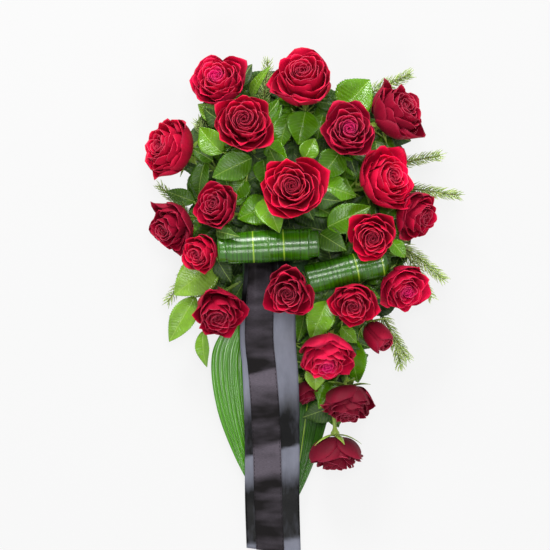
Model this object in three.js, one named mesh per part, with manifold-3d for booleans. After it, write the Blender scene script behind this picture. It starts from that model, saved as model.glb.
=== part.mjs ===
// A funeral spray of red roses that lies flat. Roses, leaf rolls, blades and spruce are set in a foam
// brick in a plastic tray, and two black mourning ribbons run down over the lower end.
// Millimetres. +Z is up, +Y runs to the top end of the spray, and the tray stands on z = 0.
import * as THREE from "three";
import Module from "manifold-3d";

const wasm = await Module();
wasm.setup();

// Driving dimensions.
const GAP = 0.3; // between a bloom and the receptacle under it
const HOLE_GAP = 0.5; // round each stem in the foam
const FOAM = { x0: -45, x1: 65, y0: -36, y1: 176, z0: 3.4, z1: 80, chamfer: 7 };
const TRAY = { x: 10, y: 70, width: 122, length: 224, height: 27, wall: 2.4, floor: 3, corner: 12 };
const BLOOM_COLUMNS = 15;
const BUD_COLUMNS = 10;
const SMALL_BLOOM = 39; // radius
const BLOOM_HEIGHT = 1.15; // of its radius
const STEM_RADIUS = 2.4;
const STEM_SEGMENTS = 4;
const LEAF_THICKNESS = 0.8;
const STALK_RADIUS = 2.2; // of a rolled leaf
const RIBBON_WIDE = 78;
const RIBBON_NARROW = 40;
const RIBBON_THICKNESS = 0.7;
const RIBBON_PLEATS = 4; // flat strips between the creases where the ribbons are tucked in

// Seeded random numbers from 0 to 1, so that every build is the same.
function randomFrom(seed) {
  let state = seed * 2654435761 + 97;
  return () => {
    state = (Math.imul(state ^ (state >>> 15), 2246822519) + 374761393) >>> 0;
    return ((state ^ (state >>> 13)) >>> 0) / 4294967296;
  };
}

const vec = (x, y, z) => new THREE.Vector3(x, y, z);
const lerp = THREE.MathUtils.lerp;
const smooth = (t) => THREE.MathUtils.smoothstep(t, 0, 1);

// Unit vector that leans by tilt degrees from straight up, towards the heading (0 is +X, 90 is +Y).
function axisOf(tilt, heading) {
  const lean = THREE.MathUtils.degToRad(tilt);
  const turn = THREE.MathUtils.degToRad(heading);
  return vec(Math.sin(lean) * Math.cos(turn), Math.sin(lean) * Math.sin(turn), Math.cos(lean));
}

// Two unit vectors square to a direction.
function sides(direction) {
  const helper = Math.abs(direction.z) > 0.95 ? vec(0, 1, 0) : vec(0, 0, 1);
  const right = helper.clone().cross(direction).normalize();
  const up = direction.clone().cross(right).normalize();
  return [right, up];
}

function solidFrom(points, triangles) {
  const vertProperties = new Float32Array(points.flatMap((p) => [p.x, p.y, p.z]));
  const build = (list) =>
    new wasm.Manifold(
      new wasm.Mesh({ numProp: 3, vertProperties, triVerts: new Uint32Array(list.flat()) }),
    );
  const made = build(triangles);
  return made.volume() < 0 ? build(triangles.map(([a, b, c]) => [a, c, b])) : made;
}

// Triangles that join each ring of points to the next. Faces past half are split the other way, so
// that the two faces of a sheet are split alike.
function wallBetween(rings, half = Infinity) {
  const size = rings[0].length;
  const triangles = [];
  for (let i = 0; i < rings.length - 1; i++) {
    for (let j = 0; j < size; j++) {
      const [a, b] = [i * size + j, i * size + ((j + 1) % size)];
      if (j < half) triangles.push([a, b, b + size], [a, b + size, a + size]);
      else triangles.push([a, b, a + size], [b, b + size, a + size]);
    }
  }
  return triangles;
}

// A closed skin over rings of points, whose end rings are closed by fans to two poles.
function skin(rings, firstPole, lastPole) {
  const size = rings[0].length;
  const end = (rings.length - 1) * size;
  const pole = rings.length * size;
  const triangles = wallBetween(rings);
  for (let j = 0; j < size; j++) {
    const k = (j + 1) % size;
    triangles.push([pole, k, j], [pole + 1, end + j, end + k]);
  }
  return solidFrom([...rings.flat(), firstPole, lastPole], triangles);
}

const middle = (ring) =>
  ring.reduce((sum, p) => sum.add(p), vec(0, 0, 0)).divideScalar(ring.length);

// A thin closed sheet under rows of points. Each row has its own thickness, and the upper face is
// raised by lift along the sheet's normal.
function sheet(rows, thickness, lift = 0) {
  const at = (i, j) => rows[i][j];
  const rings = rows.map((row, i) => {
    const before = Math.max(i - 1, 0);
    const after = Math.min(i + 1, rows.length - 1);
    const depth = Array.isArray(thickness) ? thickness[i] : thickness;
    const normals = row.map((_, j) => {
      const left = Math.max(j - 1, 0);
      const right = Math.min(j + 1, row.length - 1);
      const along = at(after, j).clone().sub(at(before, j));
      return at(i, right).clone().sub(at(i, left)).cross(along).normalize();
    });
    const top = row.map((p, j) => p.clone().addScaledVector(normals[j], lift));
    const under = row.map((p, j) => p.clone().addScaledVector(normals[j], lift - depth)).reverse();
    return [...top, ...under];
  });
  const size = 2 * rows[0].length;
  const end = (rings.length - 1) * size;
  const triangles = wallBetween(rings, rows[0].length);
  for (let j = 0; j < rows[0].length - 1; j++) {
    const [a, b, c, d] = [j, j + 1, size - 2 - j, size - 1 - j];
    triangles.push([a, c, b], [a, d, c], [end + a, end + b, end + c], [end + a, end + c, end + d]);
  }
  return solidFrom(rings.flat(), triangles);
}

// A tube along a curve, up to a share of its length. Its first ring can start a little behind the curve.
function tube(curve, radius, segments, corners = 4, to = 1, behind = 0) {
  const rings = [];
  for (let i = 0; i <= segments; i++) {
    const t = (to * i) / segments;
    const size = radius;
    const tangent = curve.getTangent(t);
    const [right, up] = sides(tangent);
    const centre = curve.getPoint(t).addScaledVector(tangent, i ? 0 : -behind);
    rings.push(
      Array.from({ length: corners }, (_, k) => {
        const angle = (2 * Math.PI * (k + 0.5)) / corners;
        return centre
          .clone()
          .addScaledVector(right, size * Math.cos(angle))
          .addScaledVector(up, size * Math.sin(angle));
      }),
    );
  }
  return skin(rings, middle(rings[0]), middle(rings.at(-1)));
}

const fuse = (solids) => solids.reduce((whole, next) => whole.add(next));

// The rings of a rose bloom from its heart outwards and round its back, as shares of the radius and
// the height: r and z of the ring, then how many petals share it, how far a petal's middle reaches out
// past its edges, how far it rises, and by what share of a petal the ring is turned. Small blooms are
// without the inner pair of rings.
const BLOOM_RINGS = [
  { r: 0.1, z: 0.97, petals: 3, reach: 0.25, lift: 0.06, turn: 0 },
  { r: 0.17, z: 0.76 },
  { r: 0.28, z: 0.99, petals: 3, reach: 0.16, lift: 0.08, turn: 0.4, inner: true },
  { r: 0.34, z: 0.7, inner: true },
  { r: 0.5, z: 0.95, petals: 5, reach: 0.12, lift: 0.06, turn: 0 },
  { r: 0.54, z: 0.62 },
  { r: 0.73, z: 0.86, petals: 5, reach: 0.1, lift: 0.05, turn: 0.33 },
  { r: 0.74, z: 0.52 },
  { r: 0.93, z: 0.7, petals: 5, reach: 0.12, lift: -0.06, turn: 0.67 },
  { r: 0.82, z: 0.46, petals: 5, reach: 0.08, lift: -0.03, turn: 0.67 },
  { r: 0.2, z: 0 },
];
// A closed bud has two rings of petals and is taller for its width.
const BUD_RINGS = [
  { r: 0.2, z: 1, petals: 3, reach: 0.2, lift: 0.05, turn: 0 },
  { r: 0.3, z: 0.84 },
  { r: 0.56, z: 1, petals: 3, reach: 0.14, lift: 0.06, turn: 0.5 },
  { r: 0.62, z: 0.84 },
  { r: 0.8, z: 0.93, petals: 5, reach: 0.1, lift: 0.03, turn: 0.2 },
  { r: 0.97, z: 0.6, petals: 5, reach: 0.03, lift: 0, turn: 0.2 },
  { r: 0.8, z: 0.22 },
  { r: 0.2, z: 0 },
];

function bloomHeight(rose) {
  return rose.radius * (rose.bud ? 1.9 : BLOOM_HEIGHT);
}

const centreOf = (rose) => vec(rose.x, rose.y, rose.z);

function baseOf(rose) {
  return centreOf(rose).addScaledVector(axisOf(rose.tilt, rose.heading), -bloomHeight(rose) / 2);
}

// A bloom: rims and valleys round its axis, each rim scalloped into overlapping petals.
function bloom(rose, seed) {
  const random = randomFrom(seed);
  const axis = axisOf(rose.tilt, rose.heading);
  const [right, up] = sides(axis);
  const base = baseOf(rose);
  const height = bloomHeight(rose);
  const start = random() * 2 * Math.PI;
  const at = (r, z, angle) =>
    base
      .clone()
      .addScaledVector(axis, z * height)
      .addScaledVector(right, r * rose.radius * Math.cos(angle))
      .addScaledVector(up, r * rose.radius * Math.sin(angle));
  const columns = rose.bud ? BUD_COLUMNS : BLOOM_COLUMNS;
  const open = BLOOM_RINGS.filter((ring) => rose.radius >= SMALL_BLOOM || !ring.inner);
  const rings = (rose.bud ? BUD_RINGS : open).map((ring) =>
    Array.from({ length: columns }, (_, j) => {
      const angle = (2 * Math.PI * j) / columns;
      if (!ring.petals) return at(ring.r, ring.z, start + angle);
      const share = ((j / columns) * ring.petals + ring.turn) % 1;
      const bulge = Math.sin(Math.PI * share) ** 0.7 + 0.25 * share - 0.55;
      const waver = 0.03 * (random() - 0.5);
      return at(
        ring.r * (1 + ring.reach * bulge + waver),
        ring.z + ring.lift * bulge + waver,
        start + angle,
      );
    }),
  );
  return skin(rings, at(0, rose.bud ? 0.92 : 0.82, 0), at(0, 0, 0));
}

// The stem's line: out of the foam low down, then up into the bloom along the bloom's axis.
function stemCurve(rose) {
  const axis = axisOf(rose.tilt, rose.heading);
  const root = vec(...rose.root);
  const top = baseOf(rose).addScaledVector(axis, -6);
  const way = top.clone().sub(root);
  const reach = way.length();
  const out = vec(way.x * 0.4, way.y * 0.4, way.z * (rose.rise ?? 0.12));
  return new THREE.CubicBezierCurve3(
    root,
    root.clone().add(out),
    top.clone().addScaledVector(axis, -(rose.crook ?? 0.28) * reach),
    top,
  );
}

// The receptacle under a bloom, with five pointed sepals that stand clear of the petals.
function receptacle(rose) {
  const axis = axisOf(rose.tilt, rose.heading);
  const [right, up] = sides(axis);
  const base = baseOf(rose);
  const reach = rose.radius * (rose.sepals ?? 0.62);
  const rise = reach * (rose.clasp ?? 0);
  const neck = rose.radius * 0.15;
  const at = (r, z, k) => {
    const angle = (Math.PI * k) / 5;
    return base
      .clone()
      .addScaledVector(axis, z)
      .addScaledVector(right, r * Math.cos(angle))
      .addScaledVector(up, r * Math.sin(angle));
  };
  const ring = (notch, tip, zNotch, zTip) =>
    Array.from({ length: 10 }, (_, k) => (k % 2 ? at(notch, zNotch, k) : at(tip, zTip, k)));
  const rings = [
    ring(1.3, 1.3, -13, -13),
    ring(neck, reach, -3.4, rise - 3),
    ring(neck * 0.9, reach - 1, -2, rise - 2),
  ];
  // Sepals that clasp the bloom start level, so that they clear its foot.
  if (rose.clasp) rings.push(ring(neck * 0.8, neck * 0.8, -2.4, -2.4));
  return skin(rings, at(0, -13, 0), at(0, -GAP, 0));
}

// Half width of a rose leaf along its length, with teeth between the even and odd rows.
function leafHalfWidth(share, width, row) {
  const body = Math.sin(Math.PI * share ** 0.8) ** 0.85;
  return Math.max((width / 2) * body * (row % 2 ? 1.08 : 0.93), 0.5);
}

const LEAF_SHARES = [0.03, 0.2, 0.42, 0.63, 0.84, 1];
const SMALL_LEAF_SHARES = [0.04, 0.26, 0.48, 0.76, 1];
const SMALL_LEAF_WIDTH = 31;

// A rose leaf on its stalk. It leaves the stem at the share `on` of the stem's length, and its blade
// runs from its foot to its tip, arched by `arch` of its length and folded up along the midrib.
function leaf(curve, { on, foot, tip, width, arch = 0.12, roll = 0, fold = 0.18 }) {
  const from = curve.getPoint(on);
  const [a, b] = [vec(...foot), vec(...tip)];
  const way = b.clone().sub(a);
  const length = way.length();
  const along = way.clone().normalize();
  const [right, up] = sides(along);
  const turn = THREE.MathUtils.degToRad(roll);
  const across = right.clone().multiplyScalar(Math.cos(turn)).addScaledVector(up, Math.sin(turn));
  const normal = along.clone().cross(across).normalize();
  const crest = a.clone().lerp(b, 0.45).addScaledVector(normal, 2 * arch * length);
  const spine = new THREE.QuadraticBezierCurve3(a, crest, b);
  const row = (centre, half, rise) =>
    [1, 0, -1].map((side) =>
      centre
        .clone()
        .addScaledVector(across, side * half)
        .addScaledVector(normal, Math.abs(side) * rise),
    );
  const shares = width < SMALL_LEAF_WIDTH ? SMALL_LEAF_SHARES : LEAF_SHARES;
  const blade = shares.map((share, i) => {
    const half = leafHalfWidth(share, width, i);
    return row(spine.getPoint(share), half, half * fold * 2);
  });
  const heel = from.clone().addScaledVector(across, 0.37).addScaledVector(normal, 0.21);
  const rows = [row(heel, 0.9, 0), ...blade];
  return sheet(rows, [1.6, 1.4, ...shares.slice(1).map(() => LEAF_THICKNESS)], 0.4);
}

function leafyStem(rose) {
  const curve = stemCurve(rose);
  const pieces = [tube(curve, STEM_RADIUS, STEM_SEGMENTS), receptacle(rose)];
  return fuse([...pieces, ...(rose.leaves ?? []).map((one) => leaf(curve, one))]);
}

// The roses. x, y, z is the middle of the bloom; tilt and heading say where it faces; root is where its
// stem ends in the foam.
const ROSES = [
  {
    x: -76, y: 266, z: 112, radius: 41, tilt: 27, heading: 124, root: [-12, 152, 46],
    leaves: [{ on: 0.55, foot: [-33, 247, 84], tip: [-6, 288, 112], width: 16, roll: -25 }],
  },
  { x: 40, y: 266, z: 138, radius: 46, tilt: 30, heading: 105, root: [14, 158, 62],
    leaves: [
      { on: 0.6, foot: [42, 226, 108], tip: [32, 179, 116], width: 46, arch: 0.1 },
      { on: 0.66, foot: [22, 224, 98], tip: [7, 172, 102], width: 32, roll: 20 },
      { on: 0.3, foot: [-10, 180, 108], tip: [18, 154, 132], width: 28 },
    ],
  },
  { x: -42, y: 205, z: 165, radius: 43, tilt: 12, heading: 90, root: [-4, 128, 62],
    leaves: [
      { on: 0.66, foot: [-72, 212, 103], tip: [-107, 237, 95], width: 26 },
      { on: 0.38, foot: [-72, 168, 116], tip: [-104, 204, 112], width: 36, roll: -15 },
      { on: 0.4, foot: [-16, 158, 108], tip: [-12, 118, 122], width: 31 },
    ],
  },
  { x: -145, y: 174, z: 110, radius: 44, tilt: 60, heading: 163, root: [-28, 112, 44], sepals: 0.7,
    leaves: [
      { on: 0.62, foot: [-96, 160, 92], tip: [-106, 106, 78], width: 28, roll: 20 },
      { on: 0.5, foot: [-86, 158, 98], tip: [-117, 176, 104], width: 18 },
    ],
  },
  { x: 100, y: 195, z: 157, radius: 43, tilt: 8, heading: 90, root: [36, 128, 64],
    leaves: [
      { on: 0.6, foot: [90, 170, 118], tip: [62, 131, 118], width: 42, arch: 0.14 },
      { on: 0.72, foot: [92, 226, 108], tip: [131, 270, 106], width: 56, arch: 0.06 },
      { on: 0.66, foot: [66, 222, 104], tip: [58, 188, 98], width: 26 },
    ],
  },
  { x: 168, y: 223, z: 112, radius: 45, tilt: 50, heading: 35, root: [50, 146, 44], sepals: 0.7,
    leaves: [{ on: 0.6, foot: [140, 186, 92], tip: [142, 156, 98], width: 28 }],
  },
  { x: 24, y: 117, z: 178, radius: 46, tilt: 8, heading: 135, root: [12, 98, 62],
    leaves: [
      { on: 0.7, foot: [-14, 106, 130], tip: [6, 57, 160], width: 40, arch: 0.06 },
      { on: 0.6, foot: [40, 158, 130], tip: [55, 187, 126], width: 28 },
    ],
  },
  { x: 150, y: 130, z: 130, radius: 45, tilt: 38, heading: 20, root: [48, 108, 56],
    leaves: [
      { on: 0.5, foot: [98, 150, 110], tip: [104, 119, 138], width: 14, roll: 60 },
      { on: 0.34, foot: [62, 126, 112], tip: [112, 108, 114], width: 36 },
    ],
  },
  { x: 196, y: 85, z: 98, radius: 36, tilt: 52, heading: -25, root: [56, 84, 42],
    leaves: [{ on: 0.7, foot: [148, 96, 78], tip: [168, 84, 92], width: 20 }],
  },
  { x: 133, y: 52, z: 146, radius: 36, tilt: 12, heading: -110, root: [46, 64, 64],
    leaves: [
      { on: 0.5, foot: [72, 66, 120], tip: [131, 94, 130], width: 40, arch: 0.05 },
      { on: 0.6, foot: [160, 48, 108], tip: [180, 24, 106], width: 22 },
      { on: 0.36, foot: [62, 57, 112], tip: [98, 34, 122], width: 34 },
    ],
  },
  { x: -79, y: 93, z: 143, radius: 34, tilt: 28, heading: 150, root: [-16, 84, 64],
    leaves: [
      { on: 0.55, foot: [-32, 160, 128], tip: [-86, 134, 124], width: 42, arch: 0.1 },
      { on: 0.5, foot: [-40, 134, 112], tip: [-60, 104, 104], width: 32 },
      { on: 0.46, foot: [-4, 98, 102], tip: [-52, 78, 102], width: 44 },
      { on: 0.8, foot: [-80, 60, 136], tip: [-48, 52, 158], width: 18 },
    ],
  },
  { x: -143, y: 68, z: 100, radius: 37, tilt: 48, heading: 210, root: [-32, 76, 46], sepals: 0.7,
    leaves: [{ on: 0.6, foot: [-112, 102, 84], tip: [-152, 117, 80], width: 24 }],
  },
  { x: -101, y: 30, z: 128, radius: 28, tilt: 35, heading: 205, root: [-30, 46, 58],
    leaves: [
      { on: 0.6, foot: [-80, 20, 86], tip: [-141, -28, 76], width: 54, arch: 0.06 },
    ],
  },
  { x: -79, y: -50, z: 106, radius: 40, tilt: 32, heading: -85, root: [-28, 4, 56],
    leaves: [
      { on: 0.6, foot: [-112, -30, 70], tip: [-149, -94, 58], width: 36, arch: 0.08 },
      { on: 0.7, foot: [-100, -78, 62], tip: [-96, -130, 56], width: 22, roll: 25 },
    ],
  },
  { x: 19, y: -23, z: 152, radius: 40, tilt: 14, heading: 235, root: [46, -2, 60], crook: 0.15 },
  { x: 108, y: -38, z: 122, radius: 35, tilt: 22, heading: -105, root: [54, 4, 46], sepals: 0.5,
    leaves: [
      { on: 0.5, foot: [72, -36, 98], tip: [50, -90, 98], width: 40, arch: 0.12 },
      { on: 0.6, foot: [92, -72, 84], tip: [114, -95, 82], width: 22 },
    ],
  },
  { x: 177, y: -16, z: 101, radius: 38, tilt: 34, heading: -55, root: [56, 40, 44], sepals: 0.4 },
  { x: 144, y: -86, z: 82, radius: 24, tilt: 62, heading: -50, root: [56, 14, 30], bud: true,
    sepals: 1.3, clasp: 0.6,
  },
  { x: 72, y: -112, z: 108, radius: 43, tilt: 46, heading: -92, root: [42, -14, 46],
    leaves: [{ on: 0.6, foot: [56, -124, 72], tip: [57, -162, 68], width: 30 }],
  },
  { x: 102, y: -179, z: 84, radius: 41, tilt: 68, heading: -88, root: [52, -20, 34], sepals: 0.8,
    leaves: [{ on: 0.55, foot: [108, -86, 66], tip: [118, -152, 50], width: 44, roll: 20 }],
  },
  { x: 86, y: -252, z: 53, radius: 41, tilt: 86, heading: -88, root: [38, -22, 34], sepals: 0.9,
    clasp: 0.4,
  },
  { x: 45, y: -166, z: 38, radius: 22, tilt: 75, heading: -60, root: [26, -20, 32] },
];
const roseName = (i) => "rose_" + String(i + 1).padStart(2, "0");

// A spruce twig: a slim core whose faces, past the bare foot, are raised into needles.
function twig(curve, { bare, steps, core = 1.7, needle = 12, seed }) {
  const random = randomFrom(seed);
  const corners = 3;
  const rings = [];
  const shares = [0, bare / 2];
  for (let i = 0; i <= steps; i++) shares.push(lerp(bare, 1, i / steps));
  shares.forEach((share, i) => {
    const size = core * lerp(1.15, 0.55, share);
    const [right, up] = sides(curve.getTangent(share));
    rings.push(
      Array.from({ length: corners }, (_, k) => {
        const angle = (2 * Math.PI * (k + 0.5 * (i % 2))) / corners;
        return curve
          .getPoint(share)
          .addScaledVector(right, size * Math.cos(angle))
          .addScaledVector(up, size * Math.sin(angle));
      }),
    );
  });
  const points = rings.flat();
  const triangles = [];
  for (let i = 0; i < rings.length - 1; i++) {
    const tangent = curve.getTangent(shares[i]);
    for (let j = 0; j < corners; j++) {
      const k = (j + 1) % corners;
      const [a, b] = [i * corners + j, i * corners + k];
      const [c, d] = [b + corners, a + corners];
      if (i < 2) {
        triangles.push([a, b, c], [a, c, d]);
        continue;
      }
      const quad = [a, b, c, d].map((n) => points[n]);
      const root = middle(quad);
      const out = root.clone().sub(curve.getPoint((shares[i] + shares[i + 1]) / 2)).normalize();
      const length = needle * (0.75 + 0.35 * random()) * lerp(1, 0.7, (shares[i] - bare) / (1 - bare));
      const apex = points.push(
        root.addScaledVector(out, 0.72 * length).addScaledVector(tangent, 0.7 * length),
      ) - 1;
      triangles.push([a, b, apex], [b, c, apex], [c, d, apex], [d, a, apex]);
    }
  }
  const end = (rings.length - 1) * corners;
  const foot = points.push(curve.getPoint(0)) - 1;
  const tip = points.push(curve.getPoint(1).addScaledVector(curve.getTangent(1), needle / 2)) - 1;
  for (let j = 0; j < corners; j++) {
    const k = (j + 1) % corners;
    triangles.push([foot, k, j], [tip, end + j, end + k]);
  }
  return solidFrom(points, triangles);
}

// Spruce pieces: the line of each twig from the foam to its tip, then side twigs that leave it.
const SPRUCE = {
  spruce_top: { line: [[0, 168, 40], [-16, 215, 74], [-10, 296, 100]], bare: 0.42, steps: 13 },
  spruce_top_right: { line: [[48, 168, 36], [120, 246, 62], [188, 280, 84]], bare: 0.6, steps: 11 },
  spruce_right_upper: { line: [[56, 132, 30], [150, 152, 48], [230, 167, 82]], bare: 0.5, steps: 13 },
  spruce_right_middle: { line: [[56, 98, 30], [165, 122, 44], [256, 112, 78]], bare: 0.55, steps: 13 },
  spruce_right_lower: {
    line: [[56, 56, 30], [168, 44, 66], [236, -6, 80]], bare: 0.5, steps: 13,
    arms: [{ line: [[150, 48, 58.5], [190, 22, 56], [220, -32, 66]], bare: 0.3, steps: 9 }],
  },
  spruce_low_right: {
    line: [[56, 26, 34], [138, -42, 38], [187, -118, 56]], bare: 0.6, steps: 10,
    arms: [{ line: [[160, -71, 45], [172, -102, 42], [178, -130, 44]], bare: 0.25, steps: 6 }],
  },
  spruce_left: {
    line: [[-34, 60, 28], [-95, 40, 38], [-152, -38, 48]], bare: 0.5, steps: 10,
    arms: [{ line: [[-80, 47, 35], [-120, 80, 42], [-162, 126, 58]], bare: 0.5, steps: 9 }],
  },
  spruce_left_upper: { line: [[-34, 132, 32], [-80, 172, 60], [-108, 214, 84]], bare: 0.5, steps: 9 },
};

const through = (line) => new THREE.CatmullRomCurve3(line.map((p) => vec(...p)));

function sprucePiece(spec, seed) {
  const main = twig(through(spec.line), { ...spec, seed });
  const arms = (spec.arms ?? []).map((arm, i) =>
    twig(through(arm.line), { ...arm, core: 1.4, needle: 11, seed: seed + 10 * (i + 1) }),
  );
  return fuse([main, ...arms]);
}

// A leaf rolled into a tube round a level line, wound outwards. `span` gives where its edges lie along
// the line for a share of the winding, and its stalk runs from the underside down into the foam.
const ROLLS = {
  leaf_roll_left: {
    from: [-78, 37, 130], to: [60, 44, 130], inner: 17, outer: 23.4, turns: 1.8, endAngle: 290,
    span: (u) => [lerp(0, 0.1, smooth(u * 2 - 0.7)), lerp(1, 0.9, smooth(u * 2 - 0.5))],
    stalk: { at: 0.77, root: [30, 42, 60] },
  },
  leaf_roll_right: {
    from: [42, -6, 107], to: [154, 21, 101], inner: 15.5, outer: 22.4, turns: 1.7, endAngle: 290,
    span: (u) => [lerp(0.05, 0, smooth(u)), lerp(1, 0.96, smooth(u))],
    stalk: { at: 0.1, root: [50, 8, 54] },
  },
};

function rollFrame(spec) {
  const from = vec(...spec.from);
  const way = vec(...spec.to).sub(from);
  const along = way.clone().normalize();
  const right = vec(0, 0, 1).cross(along).normalize();
  return { from, way, along, right, up: along.clone().cross(right) };
}

function stalkCurve(spec) {
  const { from, way, up } = rollFrame(spec);
  const top = from
    .clone()
    .addScaledVector(way, spec.stalk.at)
    .addScaledVector(up, -(spec.outer - 1.2));
  const root = vec(...spec.stalk.root);
  return new THREE.QuadraticBezierCurve3(root, vec(top.x, top.y, lerp(root.z, top.z, 0.5)), top);
}

function rolledLeaf(spec) {
  const { from, way, right, up } = rollFrame(spec);
  const steps = 20;
  const rows = [];
  for (let i = 0; i <= steps; i++) {
    const u = i / steps;
    const radius = lerp(spec.inner, spec.outer, u);
    const angle = THREE.MathUtils.degToRad(spec.endAngle - 360 * spec.turns * (1 - u));
    const [low, high] = spec.span(u);
    rows.push(
      [low, (low + high) / 2, high].map((v) =>
        from
          .clone()
          .addScaledVector(way, v)
          .addScaledVector(right, radius * Math.cos(angle))
          .addScaledVector(up, radius * Math.sin(angle)),
      ),
    );
  }
  return fuse([sheet(rows, 0.9, 0.45), tube(stalkCurve(spec), STALK_RADIUS, 3)]);
}

// Long leathery blades that lie out below the spray: the line of the midrib from the foam to the tip,
// and the half width as a share of the length.
const BLADES = {
  blade_left: {
    line: [[-16, -24, 50], [-30, -62, 60], [-43, -110, 53], [-40, -190, 34], [-30, -262, 16], [-21, -324, 7]],
    width: 92, start: 0.12, lean: 6,
  },
  blade_right: {
    line: [[58, -24, 31], [60, -46, 30], [58, -86, 14], [53, -122, 9], [46, -190, 6.5], [35, -270, 4.5], [20, -344, 3]],
    width: 82, start: 0.14, lean: 0,
  },
};

function bladeLeaf(spec) {
  const curve = through(spec.line);
  const rows = [];
  const thickness = [];
  const steps = 12;
  for (let i = 0; i <= steps; i++) {
    const t = i < 2 ? [0, spec.start / 2][i] : lerp(spec.start, 1, (i - 2) / (steps - 2));
    const share = Math.max((t - spec.start) / (1 - spec.start), 0);
    const body = Math.sin(Math.PI * Math.min(share ** 0.72, 1)) ** 0.8;
    const half = Math.max((spec.width / 2) * body, 1.1);
    const centre = curve.getPoint(t);
    rows.push(
      [-1, -0.5, 0, 0.5, 1].map((side) =>
        vec(
          centre.x + side * half,
          centre.y,
          centre.z + (Math.abs(side) * half * 4) / 46 - (side * half * spec.lean) / 46,
        ),
      ),
    );
    thickness.push(i < 2 ? 2 : 0.9);
  }
  return sheet(rows, thickness, 0.2);
}

// The ribbons' common line: out of a slot in the foam, under the left roll, then down to the surface.
const RIBBON_LINE = [
  [-13, 31, 62], [-13, 30.5, 80], [-13, 27, 92.5], [-12, 17, 96], [-11, -8, 94.5], [-10, -38, 90],
  [-10, -91, 76], [-7, -130, 69], [-5, -176, 66], [-4, -245, 42], [-4, -322, 19], [-2, -393, 4],
];
const RIBBON_SLOT_ROWS = 3;

// A row of the ribbon from one edge to the other, pleated by the share `pleat` and raised by `lift`.
function ribbonRow(index, edges, lift, cut = 0) {
  const curve = through(RIBBON_LINE);
  const t = index / (RIBBON_LINE.length - 1);
  const centre = curve.getPoint(t);
  const tangent = curve.getTangent(t);
  const normal = vec(1, 0, 0).cross(tangent).negate().normalize();
  const pleat = 0.62 * (1 - smooth((20 - centre.y) / 125));
  const strip = RIBBON_WIDE / RIBBON_PLEATS;
  const squeeze = Math.sqrt(1 - pleat * pleat);
  return edges.map((s) => {
    const fold = Math.abs((((s + RIBBON_WIDE / 2) / strip + 1) % 2) - 1);
    return centre
      .clone()
      .addScaledVector(vec(1, 0, 0), s * squeeze)
      .addScaledVector(normal, lift + (fold - 0.5) * strip * pleat)
      .addScaledVector(tangent, (cut * (s + RIBBON_WIDE / 2)) / RIBBON_WIDE);
  });
}

function ribbon(edges, lift, thickness, rows = RIBBON_LINE.length, drift = 0) {
  const list = Array.from({ length: rows }, (_, i) => {
    const last = RIBBON_LINE.length - 1;
    const shift = drift * smooth((i - 6) / (last - 6));
    return ribbonRow(i, edges.map((s) => s + shift), lift, i === last ? 12 : 0);
  });
  return sheet(list, thickness, thickness / 2);
}

const WIDE_EDGES = [-0.5, -0.25, 0, 0.25, 0.5].map((s) => s * RIBBON_WIDE);
const NARROW_LEFT = -RIBBON_WIDE / 2 + 7;
const NARROW_EDGES = [NARROW_LEFT, -RIBBON_WIDE / 4, 0, NARROW_LEFT + RIBBON_NARROW];

function roundedBlock(width, length, radius, height) {
  const shape = new THREE.Shape();
  const [w, l, r] = [width / 2, length / 2, radius];
  shape.moveTo(-w + r, -l);
  shape.lineTo(w - r, -l).absarc(w - r, -l + r, r, -Math.PI / 2, 0);
  shape.lineTo(w, l - r).absarc(w - r, l - r, r, 0, Math.PI / 2);
  shape.lineTo(-w + r, l).absarc(-w + r, l - r, r, Math.PI / 2, Math.PI);
  shape.lineTo(-w, -l + r).absarc(-w + r, -l + r, r, Math.PI, 1.5 * Math.PI);
  const geometry = new THREE.ExtrudeGeometry(shape, {
    depth: height, bevelEnabled: false, curveSegments: 3, steps: 1,
  });
  const points = new Map();
  const list = [];
  const corners = [];
  const position = geometry.getAttribute("position");
  for (let i = 0; i < position.count; i++) {
    const p = vec(position.getX(i), position.getY(i), position.getZ(i));
    const key = [p.x, p.y, p.z].map((v) => Math.round(v * 1e4)).join();
    if (!points.has(key)) points.set(key, list.push(p) - 1);
    corners.push(points.get(key));
  }
  const triangles = [];
  for (let i = 0; i < corners.length; i += 3) {
    const [a, b, c] = corners.slice(i, i + 3);
    if (a !== b && b !== c && c !== a) triangles.push([a, b, c]);
  }
  return solidFrom(list, triangles);
}

function tray() {
  const { x, y, width, length, height, wall, floor, corner } = TRAY;
  const outer = roundedBlock(width, length, corner, height);
  const inner = roundedBlock(width - 2 * wall, length - 2 * wall, corner - wall, height);
  return outer.subtract(inner.translate([0, 0, floor])).translate([x, y, 0]);
}

// Where each stem, stalk and twig sits in the foam, with the radius that it needs.
function foamHoles() {
  const hole = (curve, radius, segments, to = 1) =>
    tube(curve, radius + 1.4 * HOLE_GAP, segments, 4, to, HOLE_GAP);
  const holes = ROSES.map((rose) => hole(stemCurve(rose), STEM_RADIUS, STEM_SEGMENTS));
  for (const spec of Object.values(SPRUCE)) holes.push(hole(through(spec.line), 2.3, 2, spec.bare));
  for (const spec of Object.values(ROLLS)) holes.push(hole(stalkCurve(spec), STALK_RADIUS, 3));
  for (const spec of Object.values(BLADES)) holes.push(hole(through(spec.line), 2, 2, spec.start));
  const slotEdges = WIDE_EDGES.map((s) => (Math.abs(s) * 2 === RIBBON_WIDE ? s * 1.04 : s));
  const slot = Array.from({ length: RIBBON_SLOT_ROWS }, (_, i) => ribbonRow(i, slotEdges, 0.7));
  holes.push(sheet(slot.map((row, i) => (i ? row : row.map((p) => p.setZ(p.z - 1)))), 5.6, 2.8));
  return holes;
}

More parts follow.
